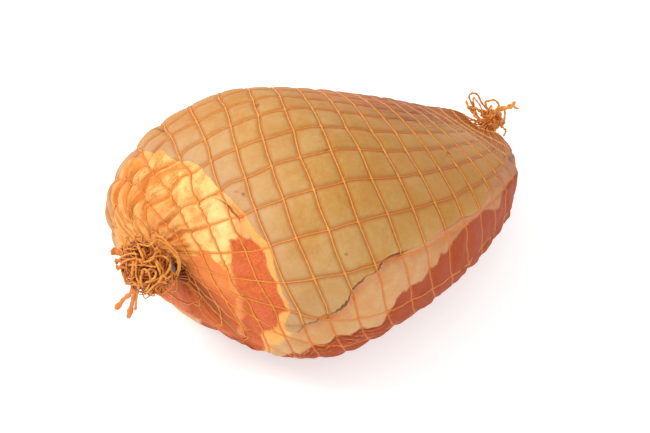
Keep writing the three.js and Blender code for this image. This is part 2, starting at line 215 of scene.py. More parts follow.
# Regions of the ham in net coordinates. Edges are hoop numbers against strand numbers or the
# other way; strands are counted from -4.5 to 15.5 with the far side at 0 and the near side at 11
regions = {
    "skinFront": [(-4.5, 2.6), (-2, 1.9), (0, 1.35), (1, 1.15), (2.2, 1.1), (3.0, 1.3), (3.5, 2.1),
                  (4.0, 2.85), (4.8, 3.3), (6.15, 3.98), (7.2, 4.6),
                  (8.05, 5.05), (8.9, 5.6), (9.8, 5.85), (11, 5.8), (11.8, 5.68), (12.7, 5.18),
                  (13.8, 4.11), (14.5, 3.9), (15.5, 3.7)],
    "skinNear": [(3, 12.6), (5.0, 12.62), (5.35, 12.7), (5.65, 12.57), (6.33, 12.17), (7.0, 11.8),
                 (7.75, 11.56), (8.3, 11.28), (9.1, 11.05),
                 (9.9, 10.93), (11.2, 10.85), (12.8, 10.75), (13.6, 10.9), (15, 10.5), (16.2, 10.05),
                 (17.5, 10.1), (19, 10.6), (21, 11)],
    "skinFar": [(2, -1.6), (6, -1.2), (9, -0.9), (12, -1.3), (15, -1), (18, -0.6), (21, -0.8)],
    "fatNear": [(2, 12), (3.1, 13.8), (3.7, 14.7), (4.28, 14.8), (4.63, 14.1), (5.13, 13.6), (5.55, 13.35),
                (6.95, 12.62),
                (7.97, 12.36), (8.72, 12.36), (9.07, 12.03), (9.3, 11.65),
                (10.1, 11.53), (11.1, 11.33), (11.8, 11.25), (13.9, 11.1), (15.3, 11.3), (16.1, 11),
                (17.5, 11.2), (21, 12)],
    "fatFarDepth": 0.9,
    "faceMeat": [(-1, 11), (1.8, 10.65), (3, 9.95), (3.55, 10.15), (3.85, 10.6), (4.15, 10.8), (4.4, 10.25),
                 (4.62, 9.75),
                 (4.9, 9.55), (5.3, 9.5), (5.6, 9.4), (21, 9)],
    "faceFar": 0.3,
    "rimWidth": [(-5, 0.3), (7.2, 0.3), (8, 0.46), (9, 0.46), (9.7, 0.3), (10.4, 0.22), (12.3, 0.2),
                 (12.9, 0.34),
                 (13.5, 0.28), (14.2, 0.12), (16, 0.1)],
    "rimFrom": 7.2,
    "seam": [(9, 4.85), (9.6, 4.5), (10.3, 4.22), (11, 4.1), (12.2, 3.82), (13.3, 3.38), (14, 3.1),
             (15.5, 2.6)],
    "creases": [  # grooves of their own, and whether they also get a painted shade line
        {"through": [(4.78, 8.1), (5.1, 8.62), (5.42, 9.1)], "depth": 2.5, "width": 1.6, "marked": False},
        {"through": [(6.9, 11.9), (7.5, 11.66), (7.85, 11.52), (8.3, 11.28)], "depth": 2.6, "width": 1.5,
         "marked": False},
        {"through": [(9.2, 11.04), (9.55, 10.98), (9.95, 10.92)], "depth": 2.4, "width": 1.3,
         "marked": False},
        {"through": [(5.4, 12.5), (6.1, 12.28), (6.9, 11.9)], "depth": 1.6, "width": 1.3, "marked": False},
        {"through": [(14.5, 8.0), (13.9, 8.35), (13.1, 8.9)], "depth": 0.7, "width": 0.7, "marked": False},
        {"through": [(3.2, 3.2), (3.75, 3.45), (3.95, 4.0), (3.55, 4.35)], "depth": 1.4, "width": 0.9,
         "marked": True},
    ],
    # hem and crevice: widths of the painted shadow lines along the skin's lower edge and on the cut face just
    # in front of it; hem also sets the pink fringe below the skin's edge
    "hem": [(4, 0.2), (5.3, 0.5), (6.6, 0.6), (7.4, 0.9), (8.1, 1.4), (8.6, 0.5), (9.2, 0.9), (9.7, 1.2),
            (10.3, 0.5),
            (12, 0.45), (13.5, 0.55), (15, 0.4), (21, 0.2)],
    "crevice": [(6, 0), (7.6, 0), (8.1, 0.4), (8.7, 0.85), (9.15, 0.5), (9.5, 0), (12, 0)],
    "spots": [(7.1, 5.45, 1.9), (8.86, 7.97, 1.7), (8.24, 10.62, 1.3), (14.05, 8.3, 2.2), (5.78, 8.45, 1.7),
              (5.55, 8.3, 1.1), (12.4, 3.2, 1.6), (10.3, 0.6, 1.5), (15.8, 5.6, 1.4)],
}

relief = {
    "skin": (-1.1, 1.5, 4.5), "fat": (-1.35, 2.2, 2.6), "meat": (-1.0, 1.45, 3),
    "lipPitch": 5.2, "lip": 0.9, "fullCell": 19, "fold": 1.35, "lump": 0.6, "patchDepth": 2.2, "layers": 0.4,
    "lobe": 2.3, "throat": 1.6,
    "shoulders": [  # bumps of the shank's end: height, place and reach in net coordinates
        {"height": 4.4, "at": (19.0, 0.7), "reach": (2.3, 3.1)},
        {"height": 3.5, "at": (19.6, 11.6), "reach": (1.5, 2.6)},
    ],
}


# Millimetres per hoop and per strand at a place
def spacing(k, j):
    perHoop = np.linalg.norm(formPoint(*netPlace(k + 0.1, j)) - formPoint(*netPlace(k - 0.1, j)),
                             axis=-1) / 0.2
    perStrand = np.linalg.norm(formPoint(*netPlace(k, j + 0.1)) - formPoint(*netPlace(k, j - 0.1)),
                               axis=-1) / 0.2
    return np.maximum(perHoop, 0.5), np.maximum(perStrand, 0.5)


# Distance in millimetres to a line through net places, the nearest of its straight stretches
def distanceTo(k, j, perHoop, perStrand, places):
    best = np.full(np.shape(k), 1e3)
    for (k0, j0), (k1, j1) in zip(places[:-1], places[1:]):
        ax, ay = (k - k0) * perHoop, (j - j0) * perStrand
        bx, by = (k1 - k0) * perHoop, (j1 - j0) * perStrand
        t = np.clip((ax * bx + ay * by) / np.maximum(bx * bx + by * by, 1e-9), 0, 1)
        best = np.minimum(best, np.hypot(ax - t * bx, ay - t * by))
    return best


# Signed distances in millimetres, positive inside each region, and the other marks of the surface, painted
# shade among them
def surfaceFields(k, j):
    j = np.mod(j - netting["wrapFrom"], around) + netting["wrapFrom"]
    perHoop, perStrand = spacing(k, j)
    front = curveThrough(j, regions["skinFront"]) + 0.09 * layeredNoise(k, j, 0.5, 2, 2, 31)
    near = curveThrough(k, regions["skinNear"]) + 0.05 * layeredNoise(k, j, 2, 1, 2, 37)
    far = curveThrough(k, regions["skinFar"]) + 0.12 * layeredNoise(k, j, 1, 1, 2, 41)
    band = curveThrough(k, regions["fatNear"]) + 0.07 * layeredNoise(k, j, 2, 1, 2, 43)
    skin = np.minimum(np.minimum((k - front) * perHoop, (near - j) * perStrand), (j - far) * perStrand)
    faceNear = curveThrough(k, regions["faceMeat"]) + 0.22 * layeredNoise(k, j, 2, 2, 2, 47)
    faceFar = regions["faceFar"] + 0.4 * layeredNoise(k, j, 1, 1, 2, 53)
    face = np.minimum((faceNear - j) * perStrand, (j - faceFar) * perStrand)
    rimWidth = curveThrough(j, regions["rimWidth"]) + 0.05 * layeredNoise(k, j, 2, 2, 2, 67)
    rim = np.minimum((k - front + rimWidth) * perHoop, (band - j) * perStrand)
    rim = np.minimum(rim, (j - regions["rimFrom"]) * perStrand)
    belt = np.minimum((k - front) * perHoop, (band - j) * perStrand)
    belt = np.minimum(belt, (j - far + regions["fatFarDepth"]) * perStrand)
    face = np.minimum(face, (front - k + 0.6) * perHoop)
    fat = np.maximum(np.maximum(face, rim), belt)
    seam = np.abs(k - curveThrough(j, regions["seam"]) - 0.12 * layeredNoise(k, j, 1, 2, 2, 59)) * perHoop
    seam = seam + 20 * easeBetween(np.abs(j - 12.2), 2.6, 3.4)
    patch = np.minimum((front - rimWidth - k) * perHoop, (j - 9.4) * perStrand)
    patch = np.minimum(patch, (k - curveThrough(j, regions["seam"]) - 0.12) * perHoop)
    # crease: distance to the marked creases, which get painted shade; valley: the groove depth of every
    # crease
    crease, valley = np.full(np.shape(k), 1e3), np.zeros(np.shape(k))
    for line in regions["creases"]:
        distance = distanceTo(k, j, perHoop, perStrand, line["through"])
        crease = np.minimum(crease, distance - 0.55 * line["width"] + (0 if line["marked"] else 100))
        valley = np.maximum(valley, line["depth"] * np.exp(-(distance / line["width"]) ** 2))
    spot = np.full(np.shape(k), 1e3)
    for spotK, spotJ, radius in regions["spots"]:
        spot = np.minimum(spot, np.hypot((k - spotK) * perHoop, (j - spotJ) * perStrand) - radius)
    # Widths of the painted shadow lines along the skin's lower edge (hem) and on the cut face just in front
    # of the skin (crevice)
    hem = curveThrough(k, regions["hem"]) * easeBetween(j, 8, 9.5) * easeBetween(k - front, 0.1, 0.6)
    ledge = (k - front + 0.36) * perHoop
    crevice = curveThrough(j, regions["crevice"])
    cord = np.minimum(np.abs(k - np.round(k)) * perHoop, np.abs(j - np.round(j)) * perStrand)
    pink = np.exp(-np.maximum(skin, 0) / 26) * easeBetween(9.5 - k, 0, 4)
    pink = pink + 0.35 * easeBetween(layeredNoise(k, j, 0.4, 0.4, 2, 61), 0.1, 1.1)
    # Browner towards the shank along the top and far side, and all round the shank's end; the 0.24 over the
    # whole top and far side is painted shade
    brownAndTopShade = easeBetween(7.0 - j, 0, 3.2) * (0.24 + 0.76 * easeBetween(k, 6.5, 13.5)) + 0.6 * easeBetween(k,
                                                                                                         16,
                                                                                                         19)
    wrinkle = easeBetween(7.2 - j, 0, 1.6) * easeBetween(k, 10.5, 14) + easeBetween(k, 16.5, 18.5)
    cream = np.exp(-((k - 4.55) / 1.0) ** 2 - ((j - 9.0) / 1.1) ** 2)
    peach = easeBetween(front - k, 1.1, 2.2) * easeBetween(j, 9, 10) * easeBetween(13.2 - j, 0, 1.6)
    # Painted shadow of the knot on the meat below it
    knotShadow = easeBetween(3.7 - k, 0, 2.4) * easeBetween(j, 12.3, 13.8)
    gather = easeBetween(front - k, -0.1, 0.5) * easeBetween(8.2 - j, 0, 2)
    amber = 0.26 * easeBetween(7.3 - j, 0, 3) * easeBetween(k, 0.2, 1.6)
    amber = amber + easeBetween(3.7 - k, 0, 2.1) * (0.42 + 0.5 * easeBetween(j, 6.0, 7.6))
    amber = amber + 0.95 * np.exp(-((k - 5.3) / 0.32) ** 2 - ((j - 9.2) / 0.6) ** 2)
    # Painted shadow where the net's threads gather into the knot; the same mask also sinks the meat there
    throat = easeBetween(1.7 - k, 0, 1.5) * easeBetween(j, 8.6, 10) * easeBetween(14 - j, 0, 2)
    gold = easeBetween(k, 8, 14)
    fold = easeBetween(front - k, -0.1, 0.5) * easeBetween(faceNear - j, -0.5, 0.8)
    ridges = 1 - 2 * np.abs(layeredNoise(k, j, 0.45, 3, 2, 71))
    valleys = easeBetween(0.35 - ridges, 0, 0.7) * gather
    rimEdge = 0.15 + 0.85 * easeBetween(j, 8.2, 9.6)
    under = (j - band) * perStrand
    lips = np.sin(2 * np.pi * (under / relief["lipPitch"] + 0.5 * layeredNoise(k, j, 1, 1, 2, 89)))
    lips = lips * easeBetween(under, 0, 2) * easeBetween(15 - under, 0, 5) * easeBetween(k, 4.6, 5.6)
    lips = lips * easeBetween(10 - k, 0, 1.5)
    return {"skin": skin, "fat": fat, "seam": seam, "patch": patch, "crease": crease, "valley": valley,
            "spot": spot, "cord": cord, "pink": np.clip(pink, 0, 1), "brownAndTopShade": np.clip(brownAndTopShade, 0, 1),
            "wrinkle": np.clip(wrinkle, 0, 1), "fold": fold, "hem": hem, "ledge": ledge,
            "crevice": crevice, "amber": np.clip(amber, 0, 1), "throat": throat, "gold": gold,
            "gather": gather,
            "ridges": ridges, "valleys": valleys, "rimEdge": rimEdge, "lips": lips,
            "cream": cream, "peach": peach, "knotShadow": knotShadow, "perHoop": perHoop, "perStrand": perStrand}


# Cushion of a cell: (1 - |2a-1|^n)(1 - |2b-1|^n), 0 along the net and 1 in the middle
def cushion(k, j, n):
    a, b = 2 * (k - np.floor(k)) - 1, 2 * (j - np.floor(j)) - 1
    return (1 - np.abs(a) ** n) * (1 - np.abs(b) ** n)


# Point of the ham at net place (k, j): smooth form, plus along its normal the cushions of each
# region, folds of the gathered fat, lumps, layers of meat, and creases; flat on the table
def hamPoint(k, j, fields, lift=0):
    s, v = slackPlace(k, j)
    full = np.clip(np.minimum(fields["perHoop"], fields["perStrand"]) / relief["fullCell"], 0.1, 1)
    skinShare = easeBetween(fields["skin"], -1.6, 1.6)
    fatShare = easeBetween(fields["fat"], -2.5, 2.5)
    height = 0
    for share, key in ((skinShare, "skin"), ((1 - skinShare) * fatShare, "fat"),
                       ((1 - skinShare) * (1 - fatShare), "meat")):
        groove, swell, squareness = relief[key]
        height = height + share * (groove * full ** 0.5 + swell * full * cushion(k, j, squareness))
    height = height + relief["fold"] * fields["fold"] * fields["ridges"] * full ** 0.5
    height = height + relief["lump"] * (1 - 0.7 * skinShare) * layeredNoise(k, j, 2, 2, 3, 79)
    bare = (1 - skinShare) * (1 - fatShare)
    sheets = np.sin(2 * np.pi * (1.7 * j + 0.6 * layeredNoise(k, j, 1, 1, 2, 83)))
    height = height + relief["layers"] * bare * sheets * easeBetween(k, 3, 6)
    height = height - relief["patchDepth"] * easeBetween(fields["patch"], -1.5, 2.5)
    for shoulder in relief["shoulders"]:
        along = (k - shoulder["at"][0]) / shoulder["reach"][0]
        across = (np.mod(j - shoulder["at"][1] + around / 2, around) - around / 2) / shoulder["reach"][1]
        height = height + shoulder["height"] * np.exp(-along ** 2 - across ** 2)
    gathered = easeBetween(5 - k, 0, 1.6) * easeBetween(4.6 - np.abs(np.mod(j - netting["wrapFrom"],
                                                                            around) - 7.0), 0, 2)
    height = height + relief["lobe"] * gathered * full * cushion(k, j, 2.2)
    height = height - relief["throat"] * fields["throat"] * bare
    height = height + relief["lip"] * fields["lips"] * bare
    height = height - fields["valley"] + lift
    lift = np.maximum(lift, 0)
    point = formPoint(s, v) + formNormal(s, v) * height[..., None]
    point[..., 2] = np.maximum(point[..., 2], lift)
    return point


# Faces of a grid closed round its columns and shut by a pole at each end: four-sided between rows
# and three-sided round the poles, whose two points follow those of the grid
def closedGrid(rows, columns):
    row, column = np.meshgrid(np.arange(rows - 1), np.arange(columns), indexing="ij")
    a, b = (row * columns + column).ravel(), (row * columns + (column + 1) % columns).ravel()
    ring = np.arange(columns)
    after, last = (ring + 1) % columns, (rows - 1) * columns
    pole = np.full(columns, rows * columns)
    return [np.stack([a, b, b + columns, a + columns], axis=1),
            np.concatenate([np.stack([after, ring, pole], axis=1),
                            np.stack([last + ring, last + after, pole + 1], axis=1)])]


# Mesh from points in the ham's own frame and arrays of three- and four-sided faces. Faces are
# turned outwards, and a face across the seam of a wrapped pattern gets the far end's place
def buildPiece(name, node, points, faces, place=None, wrap=None, fields=None):
    points = points + shift
    volume = sum(np.einsum("ij,ij->i", points[f[:, 0]], np.cross(points[f[:, n]], points[f[:, n + 1]])).sum()
                 for f in faces for n in range(1, f.shape[1] - 1))
    if volume < 0:
        faces = [f[:, ::-1] for f in faces]
    mesh = bpy.data.meshes.new(name)
    mesh.vertices.add(len(points))
    mesh.vertices.foreach_set("co", (points / 1000).astype(np.float32).ravel())
    corners = np.concatenate([f.ravel() for f in faces]).astype(np.int32)
    sizes = np.concatenate([np.full(len(f), f.shape[1]) for f in faces])
    mesh.loops.add(len(corners))
    mesh.loops.foreach_set("vertex_index", corners)
    mesh.polygons.add(len(sizes))
    mesh.polygons.foreach_set("loop_start", np.concatenate([[0], np.cumsum(sizes)[:-1]]).astype(np.int32))
    mesh.polygons.foreach_set("use_smooth", np.ones(len(sizes), bool))
    mesh.update(calc_edges=True)
    if place is not None:
        flat = []
        for f in faces:
            corner = place[f]
            if wrap is not None:
                highest = corner[..., 1].max(axis=1, keepdims=True)
                corner[..., 1] = np.where(highest - corner[..., 1] > wrap / 2, corner[..., 1] + wrap,
                                          corner[..., 1])
            flat.append(corner.reshape(-1, 2))
        layer = mesh.uv_layers.new(name="place")
        layer.data.foreach_set("uv", np.concatenate(flat).astype(np.float32).ravel())
    for field, values in (fields or {}).items():
        attribute = mesh.attributes.new(field, "FLOAT", "POINT")
        attribute.data.foreach_set("value", np.ascontiguousarray(values, np.float32).ravel())
    mesh.validate()
    piece = bpy.data.objects.new(name, mesh)
    bpy.context.scene.collection.objects.link(piece)
    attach(piece, "root")
    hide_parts(node)
    print("  ", name, len(mesh.polygons), "faces")
    return piece


# Ham: a closed grid of hoops and strands, shut at both ends over a few rings to a dimpled pole
formFields = ("valley", "fold", "ridges", "perHoop", "perStrand")  # used here and not by the shader
hamGrid = {"perHoop": 14, "perStrand": 16, "capShares": (0.25, 0.5, 0.75), "dimple": 5}


def buildHam():
    rows, columns = lastHoop * hamGrid["perHoop"] + 1, around * hamGrid["perStrand"]
    k, j = np.meshgrid(np.arange(rows) / hamGrid["perHoop"],
                       np.arange(columns) / hamGrid["perStrand"] + netting["wrapFrom"],
                       indexing="ij")
    fields = surfaceFields(k, j)
    grid = hamPoint(k, j, fields)
    frontPole = formPoint(0.0, 0.0) + np.array([hamGrid["dimple"], 0, 0])
    shankPole = formPoint(1.0, 0.0) - np.array([hamGrid["dimple"], 0, 0])
    shares = np.array(hamGrid["capShares"])[:, None, None]
    frontCap = (grid[:1] * (1 - shares) + frontPole * shares)[::-1]
    shankCap = grid[-1:] * (1 - shares) + shankPole * shares
    grid = np.concatenate([frontCap, grid, shankCap])
    caps = len(hamGrid["capShares"])
    points = np.concatenate([grid.reshape(-1, 3), frontPole[None], shankPole[None]])
    stretch = lambda values: np.concatenate([
        np.repeat(values[:1], caps, axis=0).ravel(), values.ravel(),
        np.repeat(values[-1:], caps, axis=0).ravel(), [values[0].mean(), values[-1].mean()]])
    place = np.stack([stretch(k), stretch(j)], axis=1) / around
    kept = {name: stretch(values) for name, values in fields.items() if name not in formFields}
    return buildPiece("hamBody", "ham", points, closedGrid(rows + 2 * caps, columns), place, 1.0, kept)


print("building the ham")
hamPiece = buildHam()


# Threads: rings of two-lobed section carried along paths, the lobes turning as twisted yarn does.
# paths are n threads of m points, guides point roughly outwards, and an open thread ends in a cap
def buildThreads(name, node, paths, guides, radii, sides, closed=False, ply=0.0, pitch=5.0, shade=None):
    count, steps, _ = paths.shape
    if closed:
        tangents = unit(np.roll(paths, -1, axis=1) - np.roll(paths, 1, axis=1))
    else:
        tangents = unit(np.gradient(paths, axis=1))
    side = unit(np.cross(tangents, guides))
    up = np.cross(side, tangents)
    pace = np.linalg.norm(np.diff(paths, axis=1, prepend=paths[:, :1]), axis=-1)
    run = np.cumsum(pace, axis=1)
    angles = 2 * np.pi * np.arange(sides) / sides
    lobes = 1 + ply * np.cos(2 * angles - 2 * np.pi * run[..., None] / pitch)
    reach = (radii[..., None] * lobes)[..., None]
    rings = paths[:, :, None] + reach * (np.cos(angles)[:, None] * up[:, :, None]
                                         + np.sin(angles)[:, None] * side[:, :, None])
    thread, step, turn = np.meshgrid(np.arange(count), np.arange(steps if closed else steps - 1),
                                     np.arange(sides), indexing="ij")
    index = lambda t, p, q: ((t * steps + p % steps) * sides + q % sides).ravel()
    faces = [np.stack([index(thread, step, turn), index(thread, step, turn + 1),
                       index(thread, step + 1, turn + 1), index(thread, step + 1, turn)], axis=1)]
    points = rings.reshape(-1, 3)
    place = np.stack([np.repeat(run[..., None] / 10, sides, axis=-1),
                      np.broadcast_to(angles / (2 * np.pi), rings.shape[:3])], axis=-1).reshape(-1, 2)
    shade = np.zeros((count, steps)) if shade is None else shade
    shades = np.repeat(shade[..., None], sides, axis=-1).ravel()
    if not closed:
        ends = np.concatenate([paths[:, 0] - 0.7 * radii[:, 0, None] * tangents[:, 0],
                               paths[:, -1] + 0.7 * radii[:, -1, None] * tangents[:, -1]])
        whole = len(points)
        thread, turn = np.meshgrid(np.arange(count), np.arange(sides), indexing="ij")
        faces.append(np.stack([index(thread, 0, turn + 1), index(thread, 0, turn),
                               (whole + thread).ravel()], axis=1))
        faces.append(np.stack([index(thread, steps - 1, turn), index(thread, steps - 1, turn + 1),
                               (whole + count + thread).ravel()], axis=1))
        points = np.concatenate([points, ends])
        place = np.concatenate([place, np.stack([np.concatenate([run[:, 0], run[:, -1]]) / 10,
                                                 np.full(2 * count, 0.5)], axis=1)])
        shades = np.concatenate([shades, shade[:, 0], shade[:, -1]])
    return buildPiece(name, node, points, faces, place, 1.0, {"shade": shades})


# Fields on lines of the net, how bare the ham is under them, and how much of that is its side
def netFields(k, j):
    fields = surfaceFields(k, j)
    bare = 1 - easeBetween(fields["skin"], -2, 2)
    return fields, bare, bare * easeBetween(fields["ledge"], 0, 8)


# Net: strands run along whole j, hoops round at whole k, each resting in the surface it crosses
def buildNet():
    k = np.linspace(0, lastHoop, 17 * lastHoop + 1)[None]
    j = np.arange(around)[:, None] + 0 * k
    k = k + 0 * j
    fields, bare, side = netFields(k, j)
    paths = hamPoint(k, j, fields, netting["strandRadius"] * (0.55 - 0.7 * side))
    crossing = np.exp(-(np.abs(k - np.round(k)) * fields["perHoop"] / 1.5) ** 2)
    radii = netting["strandRadius"] * (1 + 0.5 * netting["knotSwell"] * crossing) * (1 - 0.12 * bare)
    shade = 0.24 + 0.28 * (1 - bare) * easeBetween(k, 6, 14)
    strands = buildThreads("netStrands", "net", paths, formNormal(*netPlace(k, j)), radii, 8, False,
                           netting["ply"], netting["plyPitch"], shade)
    j = np.linspace(0, around, 19 * around, endpoint=False)[None]
    k = np.arange(netting["hoops"])[:, None] + 0 * j
    j = j + 0 * k
    fields, bare, side = netFields(k, j)
    paths = hamPoint(k, j, fields, netting["hoopRadius"] * (0.95 - 1.1 * side))
    crossing = np.exp(-(np.abs(j - np.round(j)) * fields["perStrand"] / 1.6) ** 2)
    small = np.clip(fields["perStrand"] / 8, 0.45, 1)
    radii = netting["hoopRadius"] * (1 + netting["knotSwell"] * crossing) * small * (1 - 0.2 * bare)
    shade = 0.08 + 0.12 * bare + 0.35 * side
    hoops = buildThreads("netHoops", "net", paths, formNormal(*netPlace(k, j)), radii, 8, True,
                         netting["ply"], netting["plyPitch"], shade)
    return [strands, hoops]


print("building the net")
netPieces = buildNet()


# Smooth paths through a few places each: Catmull-Rom, (n, p, 3) to (n, steps, 3)
def threadThrough(places, steps):
    places = np.asarray(places, float)
    padded = np.concatenate([2 * places[:, :1] - places[:, 1:2], places, 2 * places[:, -1:] - places[:,
                                                                                                     -2:-1]],
                                                                                                     axis=1)
    t = np.linspace(0, places.shape[1] - 1 - 1e-6, steps)
    i = np.floor(t).astype(int)
    u = (t - i)[None, :, None]
    p0, p1, p2, p3 = (padded[:, i + n] for n in range(4))
    return 0.5 * (2 * p1 + (p2 - p0) * u + (2 * p0 - 5 * p1 + 4 * p2 - p3) * u ** 2
                  + (3 * p1 - p0 - 3 * p2 + p3) * u ** 3)


# Frayed threads: each leaves the foot, wanders through places at shares of an ellipsoid's half
# sizes whose directions drift at random, and ends anywhere; curved through them, with small curls
def frayedThreads(count, steps, foot, centre, half, shells, drift, curl, seed):
    draw = np.random.default_rng(seed)
    direction = unit(draw.normal(size=(count, 3)) + [-0.25 * np.sign(foot[0] - centre[0]), 0, 0])
    places = [foot + draw.normal(0, 1.2, (count, 3)), centre + 0.5 * half * direction]
    for turn in range(5):
        direction = unit(direction + draw.normal(0, drift, (count, 3)))
        places.append(centre + half * direction * draw.uniform(*shells, (count, 1)))
    paths = threadThrough(np.stack(places, axis=1), steps)
    run = np.linspace(0, 1, steps)[None, :, None]
    for rate, share in ((5, 1.0), (11, 0.4)):
        phase = draw.uniform(0, 2 * np.pi, (count, 1, 3))
        paths = paths + curl * share * np.sin(2 * np.pi * rate * run * draw.uniform(0.7, 1.3,
                                                                                    (count, 1, 3)) + phase)
    return paths, unit(paths - centre) + 0.03


# Matted heart: ball with ripples and layered noise, stretched to three half sizes
def buildHeart(name, centre, half, node, seed):
    turns, levels = 72, 40
    turn, level = np.meshgrid(np.arange(turns) / turns, (np.arange(levels) + 0.5) / levels, indexing="xy")
    polar, azimuth = np.pi * level, 2 * np.pi * turn
    away = np.stack([np.cos(polar), np.sin(polar) * np.cos(azimuth), np.sin(polar) * np.sin(azimuth)],
                    axis=-1)
    rough = easedNoise(14 * level, 16 * turn, 16, seed) + 0.6 * easedNoise(30 * level, 36 * turn, 36,
                                                                           seed + 1)
    points = centre + away * (1 + 0.13 * rough * np.sin(polar))[..., None] * np.array(half)
    poles = centre + np.array([[half[0], 0, 0], [-half[0], 0, 0]])
    place = np.concatenate([np.stack([4 * level, 2 * turn], axis=-1).reshape(-1, 2), [[0, 0.5], [4, 0.5]]])
    return buildPiece(name, node, np.concatenate([points.reshape(-1, 3), poles]), closedGrid(levels, turns),
                      place, 2.0, {"shade": np.full(levels * turns + 2, 1.0)})


frontPole = (formPoint(0.0, 0.0) + formPoint(0.0, np.pi)) / 2
shankPole = (formPoint(1.0, 0.0) + formPoint(1.0, np.pi)) / 2

# Directions of the camera: towards it, to its right and up
view = {"azimuth": math.radians(-40), "elevation": math.radians(30), "aimRight": -33.5, "aimUp": 46.5,
        "distance": 1960}
viewRight = np.array([math.cos(view["azimuth"]), math.sin(view["azimuth"]), 0])
viewBack = (math.cos(view["elevation"]) * np.array([viewRight[1], -viewRight[0], 0])
            + [0, 0, math.sin(view["elevation"])])
viewUp = np.cross(viewBack, viewRight)
viewAim = view["aimRight"] * viewRight + [0, 0, view["aimUp"]]
cameraPlace = viewAim + view["distance"] * viewBack
frontSight = unit(cameraPlace - frontPole)

knot = {
    "centre": (-20.5, -1.2, 8.6), "half": (14, 24, 20), "heart": (0.45, 0.5, 0.5), "foot": (-11, 0, 4),
    "cores": {"count": 66, "radius": 0.78, "shells": (0.4, 0.84), "drift": 0.7, "curl": 0.6},
    "curls": {"count": 58, "radius": 0.46, "shells": (0.66, 1.04), "drift": 0.95, "curl": 0.85},
    "neckCount": 30, "neckRadius": 0.65, "neckWaist": 4.6, "waistAt": (-5.5, -1.2, 0.5),
    "parting": {"at": (3.1, -0.9), "radius": 3.4}, "mirrorAt": -15,
    "loops": [  # places right and up of the front pole, as the camera sees them
        [(-6.2, 12.6), (-3, 13.3), (0.4, 12.6), (3.8, 9.1), (5.9, 3.2), (5.5, -2.2), (3.6, -6.8),
         (1.8, -11.1)],
        [(-5.5, 11.9), (-1, 11.6), (2, 8.7), (4.6, 4.6), (5, -0.9), (2.5, -5.4)],
        [(-1.4, 7.3), (-0.3, 3.2), (-0.7, -0.9), (-3, -4.5), (-6.2, -7.7)],
        [(-24.4, 2.3), (-20.3, 3), (-15.7, 3.5), (-11.2, 5.1), (-9.4, 8.7), (-5.7, 12.3)],
        [(-18, -10.2), (-13, -9), (-7.5, -7.2), (-2.5, -3.6), (-0.3, 1.4), (-2.1, 6.9)],
        [(-20.5, 14.6), (-17.5, 14.1), (-13.9, 13.5), (-11.2, 15.5), (-8, 17.3), (-4.8, 15.9), (-1.9, 14.1)],
        [(-21, 15.5), (-19.8, 11.4), (-18.4, 8.2), (-17.3, 4.6), (-18.5, 0.5)],
        [(-9.4, 20.1), (-5.3, 18.6), (-2.1, 15.3), (2, 11)],
        [(-23, 5.1), (-23.8, 1), (-24.4, -4), (-23.5, -9.5), (-20.3, -12.2)],
        [(-21.6, 5.1), (-22.1, -0.4), (-21.9, -5.4), (-20.3, -10.4), (-21, -15.4)],
        [(-17.5, -1.3), (-18.5, -5.4), (-19, -9.5), (-17.5, -13.1)],
        [(-11.2, 7.8), (-9.4, 3.2), (-7.1, -2.2), (-5.7, -8.1), (-2.1, -10.4)],
        [(-9.8, 5.1), (-7.1, 1.4), (-4.8, -3.1), (-6.6, -7.7), (-9.4, -10.4)],
        [(-8, -8.1), (-6.2, -9.5), (-3.5, -8.6), (-3.7, -5.9), (-6.6, -5.9)],
        [(-16.6, -17.7), (-12.5, -13.6), (-8, -9.9), (-2.1, -6.8), (1.5, -4.3)],
        [(-16.2, -15.4), (-13.9, -11.8), (-13, -6.8), (-14.8, -2.2), (-18.5, -0.9)],
        [(-33, -0.4), (-30.7, 3.2), (-25.7, 5.1), (-20.3, 5.1), (-16.6, 3.7)],
        [(-34, 3.7), (-32.1, 6), (-28.5, 7.8), (-23.9, 8.7), (-20.3, 7.8)],
        [(-27.5, 1.4), (-22.1, 1.4), (-15.7, 1), (-11.2, 0.3), (-7.1, 0.5)],
        [(-13.9, 5.1), (-9.4, 6.9), (-4.8, 6.9), (-2.1, 5.1), (-0.3, 1.4)],
        [(-16.6, -4), (-13, -1.3), (-9.4, -3.1), (-10.3, -6.8), (-13.9, -8.1)],
    ],
    "loopRadius": 0.8, "loopLift": (0.98, 0.09),
    "tails": [  # right and up of the front pole and towards the camera, and the radius of each loose end
        ([(-23.9, -13, 8), (-26.2, -17.2, 3), (-30.2, -20.4, -3), (-32.7, -23.6, -8), (-35.8, -27, -12)],
         1.45),
        ([(-22.5, -13, 9), (-23.9, -19.5, 2), (-25.5, -25.4, -5), (-27.5, -33.1, -12)], 1.45),
        ([(-25.2, 6.5, 12), (-30.2, 8.3, 9), (-34.3, 9.6, 7), (-38.4, 10.5, 6)], 1.8),
        ([(-26, 5, 14), (-31.6, 4.4, 10), (-35.9, 3.6, 8)], 1.2),
        ([(-26, 1, 15), (-31.2, 0.3, 12), (-34.8, -0.4, 10)], 1.3),
        ([(-20.9, -13, 12), (-22, -19.5, 4), (-22.5, -24, -2), (-23, -27.9, -6)], 0.7),
    ],
}


# Threads through places of unequal number, each from its own list
def threadsThrough(lines, steps):
    return np.concatenate([threadThrough([line], steps) for line in lines])


# Places seen right and up of a pole, and so far towards the camera
def seenPoint(pole, right, up, towards):
    sight = unit(cameraPlace - pole)
    return pole + right[..., None] * viewRight + up[..., None] * viewUp + towards[..., None] * sight


# How far towards the camera a ball stretched to three half sizes and lifted off lies: the root
# of a quadratic, with the side that is nearer for facing 1 and the farther for facing -1
def reachOf(flat, centre, half, lift, facing):
    a = ((frontSight / half) ** 2).sum()
    b = ((flat - centre) * frontSight / half ** 2).sum(axis=-1)
    c = (((flat - centre) / half) ** 2).sum(axis=-1) - lift ** 2
    return (facing * np.sqrt(np.maximum(b * b - a * c, 0)) - b) / a


